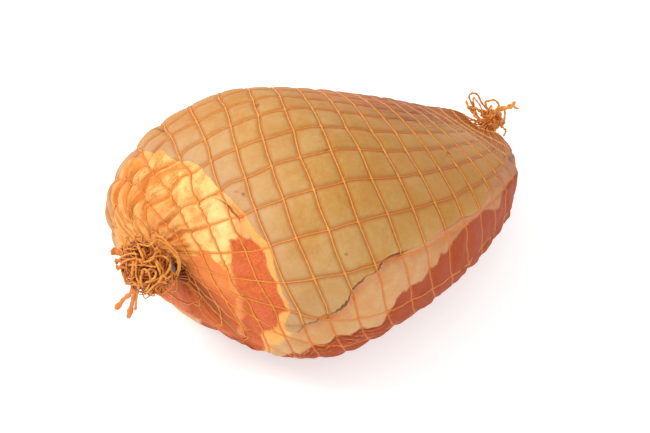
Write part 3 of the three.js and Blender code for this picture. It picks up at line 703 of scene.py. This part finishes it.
# Threads parted round a place as seen, so that what lies behind shows: pushed out to a radius
def partThreads(paths):
    parting = knot["parting"]
    away = paths - frontPole
    away = away - (away @ frontSight)[..., None] * (frontSight - viewBack)
    off = np.stack([away @ viewRight - parting["at"][0], away @ viewUp - parting["at"][1]], axis=-1)
    distance = np.linalg.norm(off, axis=-1, keepdims=True)
    push = off / np.maximum(distance, 0.01) * np.maximum(parting["radius"] - distance, 0) * 0.9
    push = push * easeBetween(away @ viewBack, 2, 7)[..., None]
    return paths + push[..., :1] * viewRight + push[..., 1:] * viewUp


# A value drawn for each thread and the same all along it
def perThread(draw, low, high, count, steps):
    return draw.uniform(low, high, (count, 1)) * np.ones((1, steps))


# Threads of a neck: where they leave the ham at hoop k, and the directions they are spread in
def neckThreads(k, count):
    turn = 2 * np.pi * np.arange(count) / count
    hoop, strand = np.full(count, float(k)), turn / (2 * np.pi) * around
    collar = hamPoint(hoop, strand, surfaceFields(hoop, strand), 0.3)
    return collar, np.stack([0 * turn, np.cos(turn), np.sin(turn)], axis=-1)


# Threads of one kind with thickness and shade drawn at random for each
def buildFrayed(name, node, kind, foot, centre, half, shades, seed):
    draw = np.random.default_rng(seed + 50)
    steps = 64
    paths, guides = frayedThreads(kind["count"], steps, foot, centre, half, kind["shells"], kind["drift"],
                                  kind["curl"], seed)
    if node == "front_bunch":
        paths = partThreads(paths)
    radii = kind["radius"] * perThread(draw, 0.7, 1.25, kind["count"], steps)
    shade = perThread(draw, *shades, kind["count"], steps)
    return buildThreads(name, node, paths, guides, radii, 6, False, 0.18, 4, shade)


# Light loops over the knot: laid on its near side, and mirrored on its far side
def buildKnotLoops(centre, half, draw):
    seen = threadsThrough(knot["loops"], 60)
    run = np.linspace(0, 1, 60)[None]
    middle = knot["mirrorAt"]
    paths = []
    for facing in (1, -1):
        right = middle + (1 if facing > 0 else -0.8) * (seen[..., 0] - middle)
        flat = seenPoint(frontPole, right, seen[..., 1], 0 * right)
        base, wave = knot["loopLift"]
        lift = base + wave * np.sin(2 * np.pi * (1.6 * run + draw.uniform(0, 1, (len(seen), 1))))
        lift = lift - 0.3 * (1 - easeBetween(np.minimum(run, 1 - run), 0, 0.14))
        paths.append(flat + reachOf(flat, centre, half, lift, facing)[..., None] * frontSight)
    paths = np.concatenate(paths)
    radii = knot["loopRadius"] * perThread(draw, 0.75, 1.2, len(paths), 60)
    shade = perThread(draw, 0, 0.3, len(paths), 60)
    return buildThreads("knotLoops", "front_bunch", paths, unit(paths - centre), radii, 8, False, 0.18, 4,
                        shade)


def buildKnot():
    centre = frontPole + np.array(knot["centre"])
    half = np.array(knot["half"])
    foot = frontPole + np.array(knot["foot"])
    pieces = [buildHeart("knotHeart", centre, half * knot["heart"], "front_bunch", 5)]
    draw = np.random.default_rng(17)
    pieces.append(buildFrayed("knotCore", "front_bunch", knot["cores"], foot, centre, half, (0.6, 1.0), 3))
    pieces.append(buildFrayed("knotCurls", "front_bunch", knot["curls"], foot, centre, half, (0.1, 0.75), 8))
    pieces.append(buildKnotLoops(centre, half, draw))
    seen = threadsThrough([line for line, _ in knot["tails"]], 40)
    paths = seenPoint(frontPole, seen[..., 0], seen[..., 1], seen[..., 2])
    along = np.linspace(0, 1, 40)[None]
    lumps = 1 + 0.1 * np.sin(2 * np.pi * (3 * along + draw.uniform(0, 1, (len(paths), 1))))
    club = (1 + 0.45 * easeBetween(along, 0.68, 0.88)) * (1 - 0.55 * easeBetween(along, 0.93, 1))
    radii = np.array([[radius] for _, radius in knot["tails"]]) * lumps * club
    pieces.append(buildThreads("knotTails", "front_bunch", paths, np.broadcast_to([1.0, 0.3, 0.1],
                                                                                  paths.shape),
                               radii, 10, False, 0.14, 7, 0.45 + 0 * radii))
    count = knot["neckCount"]
    collar, spokes = neckThreads(0, count)
    waist = knot["neckWaist"] * (0.82 + 0.16 * draw.uniform(-1, 1, (count, 1)))
    clipAt = frontPole + np.array(knot["waistAt"])
    places = np.stack([collar, clipAt + np.array([2, 0, 0]) + spokes * waist * 1.15,
                       clipAt - np.array([3, 0, 0]) + spokes * waist,
                       centre + spokes * [0, 12, 11] + np.array([5, 0, 0]),
                       centre + spokes * [0, 16, 14] + draw.normal(0, 2, (count, 3))], axis=1)
    paths = partThreads(threadThrough(places, 44))
    radii = knot["neckRadius"] * perThread(draw, 0.7, 1.3, count, 44)
    guides = np.broadcast_to(spokes[:, None] + [0.3, 0, 0], paths.shape)
    pieces.append(buildThreads("knotNeck", "front_bunch", paths, guides, radii, 6, False, 0.15, 3,
                               perThread(draw, 0.55, 1, count, 44)))
    return pieces


tuft = {
    "heart": (6, -2, 3.5), "heartHalf": (6, 8.5, 7), "foot": (2.0, -1.0, 1.0),
    "neckWaist": 4.2, "neckCount": 18, "neckRadius": 0.55,
    "cores": {"count": 20, "radius": 0.85, "shells": (0.5, 1.0), "drift": 0.7, "curl": 0.4},
    "curls": {"count": 12, "radius": 0.5, "shells": (0.8, 1.3), "drift": 0.8, "curl": 0.6},
    "loops": [  # places right and up of the shank's pole, as the camera sees them, and the radius
        ([(-5.8, 8.6), (-6.7, 11.4), (-8.6, 17), (-10.7, 21.6), (-7.9, 24.7), (-4.4, 22.6), (-1.6, 17.9),
          (2.6, 11.8),
          (5, 5.8)], 0.75),
        ([(-4.8, 7.7), (-5.8, 11.4), (-7.2, 16), (-7.6, 20.2), (-5.3, 19.3), (-2, 13.7), (0.3, 7.7)], 0.6),
        ([(-12.7, 18.8), (-11.4, 14.6), (-8.6, 10.9), (-3.9, 6.7), (-0.2, 3)], 0.9),
        ([(-11.4, 13.7), (-6.7, 13.2), (-2, 11.4), (3.6, 10.5), (8.2, 11.4)], 1.05),
        ([(4, 6.7), (2.4, 14.2), (1.2, 17.9), (5, 19.1), (9.6, 18.1), (11.2, 15.1), (9.1, 11.4), (7.3, 5.8)],
         0.8),
        ([(7.7, 5.8), (9.4, 11.4), (12.9, 13.5), (16.6, 13.7), (20.3, 15.6), (23, 17.2)], 1.3),
        ([(9.1, 3.9), (10.1, 9.5), (13.8, 12.3), (18, 13.2), (21.7, 14.2), (25.2, 13)], 0.85),
        ([(9.1, 13.2), (12.9, 13.2), (15.4, 10.9), (15.3, 6.7), (15, 2.5), (12.9, -0.7)], 0.8),
        ([(10.5, 11.4), (7.7, 5.8), (8.7, 1.1), (6.8, -3.1)], 1.0),
        ([(5.4, 11.4), (2.6, 6.7), (4.5, 1.6), (7.3, -3.5)], 0.9),
        ([(-2, 10.5), (0.8, 5.8), (0.3, 1.6), (3.6, -2.1)], 0.9),
        ([(-10.4, 13.2), (-6.7, 11.8), (-6.7, 7.7), (-3, 5.3), (1.7, 2.5)], 0.9),
        ([(12.4, 10.5), (11.9, 4.9), (10.1, 0.2), (8.2, -3.1)], 1.0),
        ([(-3, 5.8), (3.6, 3.9), (10.1, 5.3), (15.2, 3.9)], 0.8),
        ([(11.9, 1.1), (15.7, -2.1), (16.1, -4), (14.7, -6.8)], 0.7),
        ([(6.8, 5.8), (5.4, 1.1), (7.3, -1.7), (10.1, -0.7), (11.5, 3)], 0.8),
    ],
    "depth": 2.6, "crossShare": 0.55, "crossAt": (6.5, 1.5),
}


def buildTuft():
    centre = shankPole + np.array(tuft["heart"])
    half = np.array(tuft["heartHalf"])
    pieces = [buildHeart("tuftHeart", centre, half * 0.5, "back_tuft", 9)]
    draw = np.random.default_rng(29)
    seen = threadsThrough([line for line, _ in tuft["loops"]], 56)
    run = np.linspace(0, 1, 56)[None]
    towards = tuft["depth"] * (draw.uniform(-1, 1, (len(seen), 1))
                               + 0.7 * np.sin(2 * np.pi * (run + draw.uniform(0, 1, (len(seen), 1)))))
    share, (acrossMiddle, back) = tuft["crossShare"], tuft["crossAt"]
    crossed = slice(0, None, 2)
    paths = np.concatenate([
        seenPoint(shankPole, seen[..., 0], seen[..., 1], towards),
        seenPoint(shankPole, acrossMiddle + towards[crossed], share * seen[crossed, :, 1] + back,
                  share * (acrossMiddle - seen[crossed, :, 0]))])
    paths = paths + 0.25 * np.sin(2 * np.pi * (4 * run + draw.uniform(0, 1, (len(paths), 1))))[..., None]
    radii = np.array([[radius] for _, radius in tuft["loops"]])
    radii = np.concatenate([radii, 0.8 * radii[crossed]]) * np.ones((1, 56))
    pieces.append(buildThreads("tuftLoops", "back_tuft", paths, np.broadcast_to(viewBack + 0.02, paths.shape),
                               radii, 8, False, 0.2, 4, perThread(draw, 0, 0.32, len(paths), 56)))
    foot = shankPole + np.array(tuft["foot"])
    pieces.append(buildFrayed("tuftCore", "back_tuft", tuft["cores"], foot, centre, half, (0.3, 0.9), 12))
    pieces.append(buildFrayed("tuftCurls", "back_tuft", tuft["curls"], foot, centre, half, (0.0, 0.5), 15))
    count = tuft["neckCount"]
    collar, spokes = neckThreads(lastHoop, count)
    places = np.stack([collar, shankPole + [-2, -1, 0.5] + spokes * tuft["neckWaist"] * 1.2,
                       shankPole + [1.5, -1.5, 1.5] + spokes * tuft["neckWaist"],
                       centre + spokes * half * 0.7], axis=1)
    paths = threadThrough(places, 36)
    guides = np.broadcast_to(spokes[:, None] + [-0.3, 0, 0], paths.shape)
    pieces.append(buildThreads("tuftNeck", "back_tuft", paths, guides, tuft["neckRadius"] * np.ones((count,
                                                                                                     36)),
                               6, False, 0.15, 3, perThread(draw, 0.2, 0.7, count, 36)))
    return pieces


print("building the knot and the tuft")
cordPieces = netPieces + buildKnot() + buildTuft()


# Clip: a flat rounded band bent round the neck, its two ends lapped and turned in
clipBand = {"radius": 8.5, "at": (-6.3, -3.0, 2.4), "thick": 0.85, "wide": 2.2, "lapRise": 1.5, "steps": 120,
            "sides": 20}


def buildClip():
    turn = np.linspace(0, 2.18 * np.pi, clipBand["steps"])
    climb = clipBand["lapRise"] * easeBetween(turn, 1.75 * np.pi, 2.05 * np.pi)
    reach = clipBand["radius"] + climb
    centre = frontPole + np.array(clipBand["at"])
    spokes = np.stack([0 * turn, np.cos(turn + 0.9), np.sin(turn + 0.9)], axis=-1)
    angle = 2 * np.pi * np.arange(clipBand["sides"]) / clipBand["sides"]
    outwards = clipBand["thick"] * signedPower(np.cos(angle), 0.6)
    sideways = clipBand["wide"] * signedPower(np.sin(angle), 0.6)
    ends = np.clip(np.minimum(turn, turn[-1] - turn) / 0.1, 0.2, 1) ** 0.5
    rings = centre + spokes[:, None] * (reach[:, None] + outwards * ends[:, None])[..., None]
    rings = rings + (sideways * ends[:, None])[..., None] * np.array([1.0, 0, 0])
    tips = centre + spokes[[0, -1]] * reach[[0, -1], None]
    return buildPiece("clipBand", "clip", np.concatenate([rings.reshape(-1, 3), tips]),
                      closedGrid(len(turn), len(angle)))


clipPiece = buildClip()


# Material helpers: a value given to a socket is linked if it is a socket and set if it isn't
def tint(red, green, blue):
    channel = lambda c: c / 255 / 12.92 if c / 255 <= 0.04045 else ((c / 255 + 0.055) / 1.055) ** 2.4
    return (channel(red), channel(green), channel(blue), 1)


def feed(tree, socket, value):
    if isinstance(value, bpy.types.NodeSocket):
        tree.links.new(value, socket)
    elif value is not None:
        socket.default_value = value


def addMath(tree, operation, a, b=None, clamp=False):
    made = tree.nodes.new("ShaderNodeMath")
    made.operation = operation
    made.use_clamp = clamp
    feed(tree, made.inputs[0], a)
    feed(tree, made.inputs[1], b)
    return made.outputs[0]


def addRange(tree, value, low, high, toLow=0.0, toHigh=1.0):
    made = tree.nodes.new("ShaderNodeMapRange")
    made.interpolation_type = "SMOOTHSTEP"
    for name, given in (("Value", value), ("From Min", low), ("From Max", high), ("To Min", toLow),
                        ("To Max", toHigh)):
        feed(tree, made.inputs[name], given)
    return made.outputs["Result"]


def addMix(tree, share, a, b):
    made = tree.nodes.new("ShaderNodeMix")
    made.data_type = "RGBA"
    feed(tree, made.inputs["Factor"], share)
    feed(tree, made.inputs["A"], a)
    feed(tree, made.inputs["B"], b)
    return made.outputs["Result"]


def addNoise(tree, vector, scale, detail=3.0, roughness=0.55, distortion=0.0):
    made = tree.nodes.new("ShaderNodeTexNoise")
    for name, given in (("Vector", vector), ("Scale", scale), ("Detail", detail), ("Roughness", roughness),
                        ("Distortion", distortion)):
        feed(tree, made.inputs[name], given)
    return made.outputs["Fac"]


def addMapping(tree, vector, scale, turn=(0, 0, 0)):
    made = tree.nodes.new("ShaderNodeMapping")
    feed(tree, made.inputs["Vector"], vector)
    feed(tree, made.inputs["Scale"], scale)
    feed(tree, made.inputs["Rotation"], turn)
    return made.outputs["Vector"]


def addField(tree, name):
    made = tree.nodes.new("ShaderNodeAttribute")
    made.attribute_name = name
    return made.outputs["Fac"]


def addCoordinate(tree):
    return tree.nodes.new("ShaderNodeTexCoord").outputs["Object"]


def addPlace(tree):
    made = tree.nodes.new("ShaderNodeUVMap")
    made.uv_map = "place"
    return made.outputs["UV"]


def addBump(tree, shader, height, strength, distance):
    made = tree.nodes.new("ShaderNodeBump")
    for name, given in (("Strength", strength), ("Distance", distance), ("Height", height)):
        feed(tree, made.inputs[name], given)
    feed(tree, shader.inputs["Normal"], made.outputs["Normal"])


def addGroup(tree, group, **values):
    made = tree.nodes.new("ShaderNodeGroup")
    made.node_tree = group
    for name, value in values.items():
        feed(tree, made.inputs[name], value)
    return made.outputs


def newGroup(name, inputs, outputs):
    group = bpy.data.node_groups.new(name, "ShaderNodeTree")
    for label, kind, start in inputs:
        socket = group.interface.new_socket(label, in_out="INPUT", socket_type=kind)
        socket.default_value = start
    for label, kind in outputs:
        group.interface.new_socket(label, in_out="OUTPUT", socket_type=kind)
    return group, group.nodes.new("NodeGroupInput").outputs, group.nodes.new("NodeGroupOutput").inputs


# Mottle: broad and fine noise on Object coordinates, added by their weights, from 0 to 1
def mottleGroup():
    group, given, result = newGroup("Mottle", [("Vector", "NodeSocketVector", (0, 0, 0)),
                                               ("Broad", "NodeSocketFloat", 40.0), ("Fine", "NodeSocketFloat",
                                                                                    400.0),
                                               ("Fine Share", "NodeSocketFloat", 0.3)],
                                    [("Fac", "NodeSocketFloat")])
    broad = addNoise(group, given["Vector"], given["Broad"], 4.0, 0.6, 0.4)
    fine = addNoise(group, given["Vector"], given["Fine"], 3.0, 0.6)
    broad = addRange(group, broad, 0.32, 0.68)
    fine = addRange(group, fine, 0.3, 0.7)
    share = addMath(group, "MULTIPLY", addMath(group, "SUBTRACT", fine, broad), given["Fine Share"])
    feed(group, result["Fac"], addMath(group, "ADD", broad, share, True))
    return group


# Smoke stain: darkens and reddens a colour by an amount that noise breaks up
def stainGroup():
    group, given, result = newGroup("Smoke stain", [("Color", "NodeSocketColor", (1, 1, 1, 1)),
                                                    ("Vector", "NodeSocketVector", (0, 0, 0)),
                                                    ("Amount", "NodeSocketFloat", 0.3),
                                                    ("Stain", "NodeSocketColor", (0.4, 0.12, 0.03, 1))],
                                    [("Color", "NodeSocketColor")])
    patchy = addRange(group, addNoise(group, given["Vector"], 90.0, 4.0, 0.65, 0.6), 0.3, 0.72)
    share = addMath(group, "MULTIPLY", addMath(group, "ADD", addMath(group, "MULTIPLY", patchy, 0.7), 0.3),
                    given["Amount"], True)
    feed(group, result["Color"], addMix(group, share, given["Color"], given["Stain"]))
    return group


mottle = mottleGroup()
smokeStain = stainGroup()


# The helpers with their tree filled in, so that a material reads as its formula
def helpersOn(tree):
    operations = ("multiply", "add", "subtract", "absolute", "maximum")
    helpers = {"feed": feed, "field": addField, "between": addRange, "mix": addMix, "noise": addNoise,
               "mapping": addMapping, "group": addGroup, "coordinate": addCoordinate, "place": addPlace,
               "bump": addBump}
    return SimpleNamespace(**{name: partial(addMath, tree, name.upper()) for name in operations},
                           **{name: partial(helper, tree) for name, helper in helpers.items()})


def newMaterial(name):
    material = bpy.data.materials.new(name)
    material.use_nodes = True
    return material, material.node_tree.nodes["Principled BSDF"], helpersOn(material.node_tree)


# Ham: skin, fat and meat told apart by signed distances, each with its own colour and grain
hamLook = {
    "skinGold": tint(187, 134, 58), "skinTan": tint(198, 160, 102), "skinAmber": tint(182, 120, 42),
    "skinPink": tint(191, 151, 114),
    "skinBrown": tint(192, 102, 52), "skinFleck": tint(160, 102, 44), "fatCream": tint(255, 234, 182),
    "fatPale": tint(242, 202, 122), "fatWarm": tint(228, 146, 60), "fatAmber": tint(218, 116, 36),
    "fatLine": tint(226, 126, 40),
    # throat: colour of the painted shadow where the net's threads gather into the knot
    "rim": tint(240, 158, 78), "throat": tint(96, 30, 14),
    "fatSide": tint(208, 166, 114), "fatSideWarm": tint(202, 144, 88), "fatShank": tint(172, 98, 50),
    "fatPink": tint(206, 120, 84),
    "meatBright": tint(196, 86, 40), "meatMiddle": tint(208, 98, 48), "meatDeep": tint(160, 62, 22),
    "meatPale": tint(236, 156, 92), "meatRose": tint(204, 92, 66), "meatOrange": tint(240, 136, 70),
    # meatKnotShadow: colour of the painted shadow of the knot on the meat
    "meatPeach": tint(230, 136, 72), "meatKnotShadow": tint(110, 44, 34),
    # groove and skinCordStainShade: smoke stain along the cords together with painted shade beside them
    "groove": tint(216, 112, 34), "skinCordStainShade": tint(168, 94, 36), "wrinkle": tint(168, 88, 46),
    # crease: colour of the painted shade in creases, crevices, lip troughs and under the skin's edge
    "crease": tint(102, 48, 40),
    "spot": tint(126, 60, 40),
}


def hamMaterial():
    material, shader, on = newMaterial("Smoked rind, fat and meat")
    coordinate = on.coordinate()
    placed = on.place()
    look = hamLook
    marked = lambda base, name, share, colour: on.mix(on.multiply(on.field(name), share), base, look[colour])
    fine = on.noise(coordinate, 620.0, 2.0)
    ragged = on.subtract(on.noise(coordinate, 260.0, 3.0, 0.6), 0.5)
    broad = on.group(mottle, Vector=coordinate, Broad=34.0, Fine=320.0)["Fac"]
    patches = on.group(mottle, Vector=coordinate, Broad=70.0, Fine=700.0)["Fac"]
    fibres = on.noise(on.mapping(placed, (26, 150, 1)), 5.0, 4.0, 0.62, 0.8)
    grain = on.noise(on.mapping(placed, (60, 190, 1)), 5.0, 3.0, 0.6, 0.6)
    skinField = on.add(on.field("skin"), on.multiply(ragged, 2.2))
    fatField = on.add(on.field("fat"), on.multiply(ragged, 5.0))
    isSkin = on.between(skinField, -0.35, 0.35)
    isFat = on.between(fatField, -1.5, 1.3)
    cord = on.field("cord")

    skin = on.mix(broad, look["skinGold"], look["skinTan"])
    # brownAndTopShade: the skin's browning towards the shank, with painted shade over the top
    for name, share, colour in (("gold", 0.6, "skinAmber"), ("pink", 0.75, "skinPink"),
                                ("brownAndTopShade", 0.85, "skinBrown")):
        skin = marked(skin, name, share, colour)
    skin = on.mix(on.between(patches, 0.6, 1.0, 0.0, 0.22), skin, look["skinFleck"])
    skin = on.mix(on.between(grain, 0.5, 0.75, 0.0, 0.16), skin, look["skinFleck"])
    wrinkled = on.noise(on.mapping(placed, (3.2, 36, 1)), 4.0, 3.0, 0.62, 0.9)
    creased = on.multiply(on.between(wrinkled, 0.54, 0.4), on.field("wrinkle"))
    skin = on.mix(on.multiply(creased, 0.85), skin, look["wrinkle"])
    # Smoke stain along the cords, with painted shade in the grooves beside them
    skin = on.mix(on.between(cord, 3.8, 0.4, 0.0, 0.54), skin, look["skinCordStainShade"])

    fat = on.mix(on.between(patches, 0.3, 1.0), look["fatPale"], look["fatWarm"])
    fat = marked(fat, "amber", 0.7, "fatAmber")
    fat = marked(fat, "cream", 0.2, "fatCream")
    behind = on.between(on.field("ledge"), 8.0, 15.0)
    fat = on.mix(behind, fat, on.mix(patches, look["fatSide"], look["fatSideWarm"]))
    fat = on.mix(on.multiply(on.multiply(behind, on.field("gold")), 0.6), fat,
                 look["fatShank"])
    veins = on.between(on.absolute(on.subtract(grain, 0.5)), 0.035, 0.0, 0.0, 0.4)
    fat = on.mix(on.multiply(veins, on.between(broad, 0.2, 0.8)), fat, look["fatPink"])
    fringe = on.multiply(on.between(skinField, -7.0, -3.5), on.between(on.field("hem"), 0.3, 0.5))
    fat = on.mix(on.multiply(fringe, 0.35), fat, look["fatPink"])
    gathers = on.noise(on.mapping(placed, (4.5, 17, 1)), 4.0, 2.0, 0.5, 0.6)
    gathers = on.between(on.absolute(on.subtract(gathers, 0.5)), 0.035, 0.0)
    gathers = on.multiply(gathers, on.field("gather"))
    rimShare = on.multiply(on.between(on.field("ledge"), -2.0, 1.0),
                       on.between(on.field("ledge"), 13.0, 8.0, 0.0, 0.7))
    fat = on.mix(on.multiply(rimShare, on.field("rimEdge")), fat, look["rim"])
    fat = marked(fat, "valleys", 0.6, "fatLine")
    fat = on.mix(on.multiply(gathers, 0.66), fat, look["fatLine"])
    # Smoke stain along the cords, with painted shade in the grooves beside them
    fat = on.mix(on.between(cord, 2.0, 0.4, 0.0, 0.55), fat, look["groove"])

    bright = on.between(on.field("patch"), -3.0, 2.0)
    isSide = on.between(on.field("ledge"), 8.0, 16.0)
    meat = on.mix(bright, look["meatMiddle"], look["meatBright"])
    streaky = on.multiply(bright, on.between(grain, 0.46, 0.66, 0.0, 0.7))
    meat = on.mix(streaky, meat, look["meatOrange"])
    rosy = on.multiply(bright, on.between(broad, 0.5, 0.15, 0.0, 0.6))
    meat = on.mix(rosy, meat, look["meatRose"])
    meat = on.mix(isSide, meat, look["meatDeep"])
    # knotShadow and throat are painted shadow; peach is the meat's own colour
    for name, share, colour in (("peach", 0.75, "meatPeach"), ("knotShadow", 0.75, "meatKnotShadow"),
                                ("throat", 0.85, "throat")):
        meat = marked(meat, name, share, colour)
    paleShare = on.subtract(0.4, on.multiply(isSide, 0.32))
    pale = on.multiply(on.between(fibres, 0.5, 0.74), paleShare)
    meat = on.mix(pale, meat, look["meatPale"])
    meat = on.mix(on.between(broad, 0.45, 1.0, 0.0, 0.45), meat, look["meatDeep"])
    seamField = on.add(on.field("seam"), on.multiply(ragged, 4.0))
    meat = on.mix(on.between(seamField, 4.2, 1.2, 0.0, 0.55), meat, look["meatPale"])
    lips = on.field("lips")
    meat = on.mix(on.between(lips, 0.1, 0.9, 0.0, 0.5), meat, look["meatPale"])
    # Pale on the crests of the lips, and painted shade in the troughs between them
    meat = on.mix(on.between(lips, -0.1, -0.8, 0.0, 0.55), meat, look["crease"])
    # Smoke stain along the cords, with painted shade in the grooves beside them
    meat = on.mix(on.between(cord, 2.2, 0.4, 0.0, 0.35), meat, look["groove"])

    base = on.mix(isFat, meat, fat)
    base = on.mix(isSkin, base, skin)
    # Painted shadow lines: along the skin's lower edge, and on the cut face just in front of the skin's edge
    for field, strength in (("skin", "hem"), ("ledge", "crevice")):
        line = on.add(on.field(field), on.multiply(ragged, 1.2))
        line = on.subtract(on.absolute(line), on.field(strength))
        line = on.multiply(on.between(line, 0.25, -0.5),
                       on.between(on.field(strength), 0.1, 0.9, 0.0, 0.82))
        base = on.mix(line, base, look["crease"])
    # Painted shade in the marked creases
    creaseField = on.add(on.field("crease"), on.multiply(ragged, 1.6))
    base = on.mix(on.between(creaseField, 0.9, 0.0, 0.0, 0.45), base, look["crease"])
    spotField = on.add(on.field("spot"), on.multiply(ragged, 3.0))
    base = on.mix(on.between(spotField, 0.6, -0.8, 0.0, 0.6), base, look["spot"])
    base = on.group(smokeStain, Color=base, Vector=coordinate, Amount=0.12, Stain=tint(176, 96, 40))["Color"]
    on.feed(shader.inputs["Base Color"], base)

    rough = on.maximum(on.between(isFat, 0.0, 1.0, 0.56, 0.42), on.multiply(isSkin, 0.5))
    rough = on.add(on.multiply(patches, 0.14), rough)
    on.feed(shader.inputs["Roughness"], rough)
    shader.inputs["Specular IOR Level"].default_value = 0.18
    shader.inputs["Subsurface Weight"].default_value = 0.12
    shader.inputs["Subsurface Radius"].default_value = (1.0, 0.42, 0.2)
    shader.inputs["Subsurface Scale"].default_value = 0.004

    wrinkleHeight = on.multiply(creased, -2.6)
    pores = on.multiply(fine, 0.16)
    pores = on.subtract(pores, on.multiply(gathers, 0.8))
    grainHeight = on.multiply(fibres, on.subtract(0.75, on.multiply(isSkin, 0.6)))
    height = on.add(on.add(pores, grainHeight), wrinkleHeight)
    height = on.add(height, on.multiply(broad, 0.5))
    edge = on.multiply(isSkin, 0.9)
    on.bump(shader, on.add(height, edge), 0.7, 0.0008)
    return material


# Cord: smoke-stained elastic yarn, darker with its shade, with fibres along the twist
cordLook = {"light": tint(242, 170, 70), "orange": tint(224, 130, 40), "dark": tint(138, 54, 14)}


def cordMaterial():
    material, shader, on = newMaterial("Smoke-stained elastic yarn")
    coordinate = on.coordinate()
    tone = on.group(mottle, Vector=coordinate, Broad=110.0, Fine=900.0)["Fac"]
    shade = on.field("shade")
    base = on.mix(on.between(shade, 0.0, 0.5), cordLook["light"], cordLook["orange"])
    base = on.mix(on.between(shade, 0.45, 1.0), base, cordLook["dark"])
    base = on.mix(on.multiply(tone, 0.35), base, cordLook["orange"])
    base = on.group(smokeStain, Color=base, Vector=coordinate, Amount=0.18, Stain=tint(160, 76, 24))["Color"]
    fibres = on.noise(on.mapping(on.place(), (14, 6, 1), (0, 0, 0.5)), 3.0, 3.0, 0.6)
    base = on.mix(on.between(fibres, 0.6, 0.35, 0.0, 0.22), base, cordLook["dark"])
    on.feed(shader.inputs["Base Color"], base)
    on.feed(shader.inputs["Roughness"], on.add(on.multiply(fibres, 0.2), 0.52))
    shader.inputs["Sheen Weight"].default_value = 0.05
    on.bump(shader, fibres, 0.6, 0.0004)
    return material


# Clip: dull aluminium, scuffed and lightly smoked
clipLook = {"metal": tint(92, 102, 104), "scuff": tint(160, 168, 170)}


def clipMaterial():
    material, shader, on = newMaterial("Scuffed aluminium")
    coordinate = on.coordinate()
    tone = on.group(mottle, Vector=coordinate, Broad=260.0, Fine=1600.0, **{"Fine Share": 0.5})["Fac"]
    base = on.mix(tone, clipLook["metal"], clipLook["scuff"])
    base = on.group(smokeStain, Color=base, Vector=coordinate, Amount=0.2, Stain=tint(140, 100, 70))["Color"]
    on.feed(shader.inputs["Base Color"], base)
    shader.inputs["Metallic"].default_value = 1.0
    on.feed(shader.inputs["Roughness"], on.add(on.multiply(tone, 0.2), 0.42))
    return material


print("making materials")
hamPiece.data.materials.append(hamMaterial())
cordFinish = cordMaterial()
for cordPiece in cordPieces:
    cordPiece.data.materials.append(cordFinish)
clipPiece.data.materials.append(clipMaterial())


# Floor, lights and camera
studio = {
    "focalPixels": 2882, "frameWidth": 650, "sensorWidth": 36,
    "floorSize": 6.0, "floorGap": 0.0002, "floorTint": (0.62, 0.66, 0.665, 1), "floorGlow": 0.59,
    "worldTint": (1.0, 0.98, 0.94, 1), "worldStrength": 0.8,
    "lights": [  # right, away and up of the ham in metres, size, watts and tint
        {"name": "keyLight", "at": (-1.15, -0.1, 1.2), "size": 1.0, "power": 17.5, "tint": (1.0, 0.985,
                                                                                            0.96)},
        {"name": "fillLight", "at": (0.6, -1.4, 0.9), "size": 1.3, "power": 5, "tint": (1.0, 0.99, 0.98)},
    ],
}


def buildStudio():
    camera = bpy.data.objects.new("camera", bpy.data.cameras.new("camera"))
    camera.data.sensor_width = studio["sensorWidth"]
    camera.data.lens = studio["focalPixels"] / studio["frameWidth"] * studio["sensorWidth"]
    turn = Matrix(np.array([viewRight, viewUp, viewBack]).T.tolist()).to_4x4()
    camera.matrix_world = Matrix.Translation(((cameraPlace + shift) / 1000).tolist()) @ turn
    bpy.context.scene.collection.objects.link(camera)
    bpy.context.scene.camera = camera
    away = np.array([-viewRight[1], viewRight[0], 0])
    for light in studio["lights"]:
        data = bpy.data.lights.new(light["name"], "AREA")
        data.shape = "DISK"
        data.size = light["size"]
        data.energy = light["power"]
        data.color = light["tint"]
        lamp = bpy.data.objects.new(light["name"], data)
        place = viewRight * light["at"][0] + away * light["at"][1] + np.array([0, 0, light["at"][2]])
        towards = unit(place - np.array([0, 0, 0.05]))
        across = unit(np.cross([0, 0, 1], towards))
        lamp.matrix_world = (Matrix.Translation(place.tolist())
                             @ Matrix(np.array([across, np.cross(towards, across),
                                                towards]).T.tolist()).to_4x4())
        bpy.context.scene.collection.objects.link(lamp)
    world = bpy.data.worlds.new("studio")
    world.use_nodes = True
    world.node_tree.nodes["Background"].inputs["Color"].default_value = studio["worldTint"]
    seen = world.node_tree.nodes.new("ShaderNodeLightPath").outputs["Is Camera Ray"]
    glow = addMath(world.node_tree, "MULTIPLY_ADD", seen, 1.1 - studio["worldStrength"])
    glow.node.inputs[2].default_value = studio["worldStrength"]
    feed(world.node_tree, world.node_tree.nodes["Background"].inputs["Strength"], glow)
    bpy.context.scene.world = world
    bpy.context.scene.view_settings.view_transform = "Standard"
    half = studio["floorSize"] / 2
    mesh = bpy.data.meshes.new("floor")
    low = -studio["floorGap"]
    mesh.from_pydata([(-half, -half, low), (half, -half, low), (half, half, low), (-half, half, low)], [],
                     [(0, 1, 2, 3)])
    floor = bpy.data.objects.new("floor", mesh)
    bpy.context.scene.collection.objects.link(floor)
    material, shader, _ = newMaterial("Pale table")
    shader.inputs["Base Color"].default_value = studio["floorTint"]
    shader.inputs["Roughness"].default_value = 0.8
    shader.inputs["Emission Color"].default_value = (0.96, 1.0, 1.02, 1)
    shader.inputs["Emission Strength"].default_value = studio["floorGlow"]
    mesh.materials.append(material)


print("setting the studio")
buildStudio()
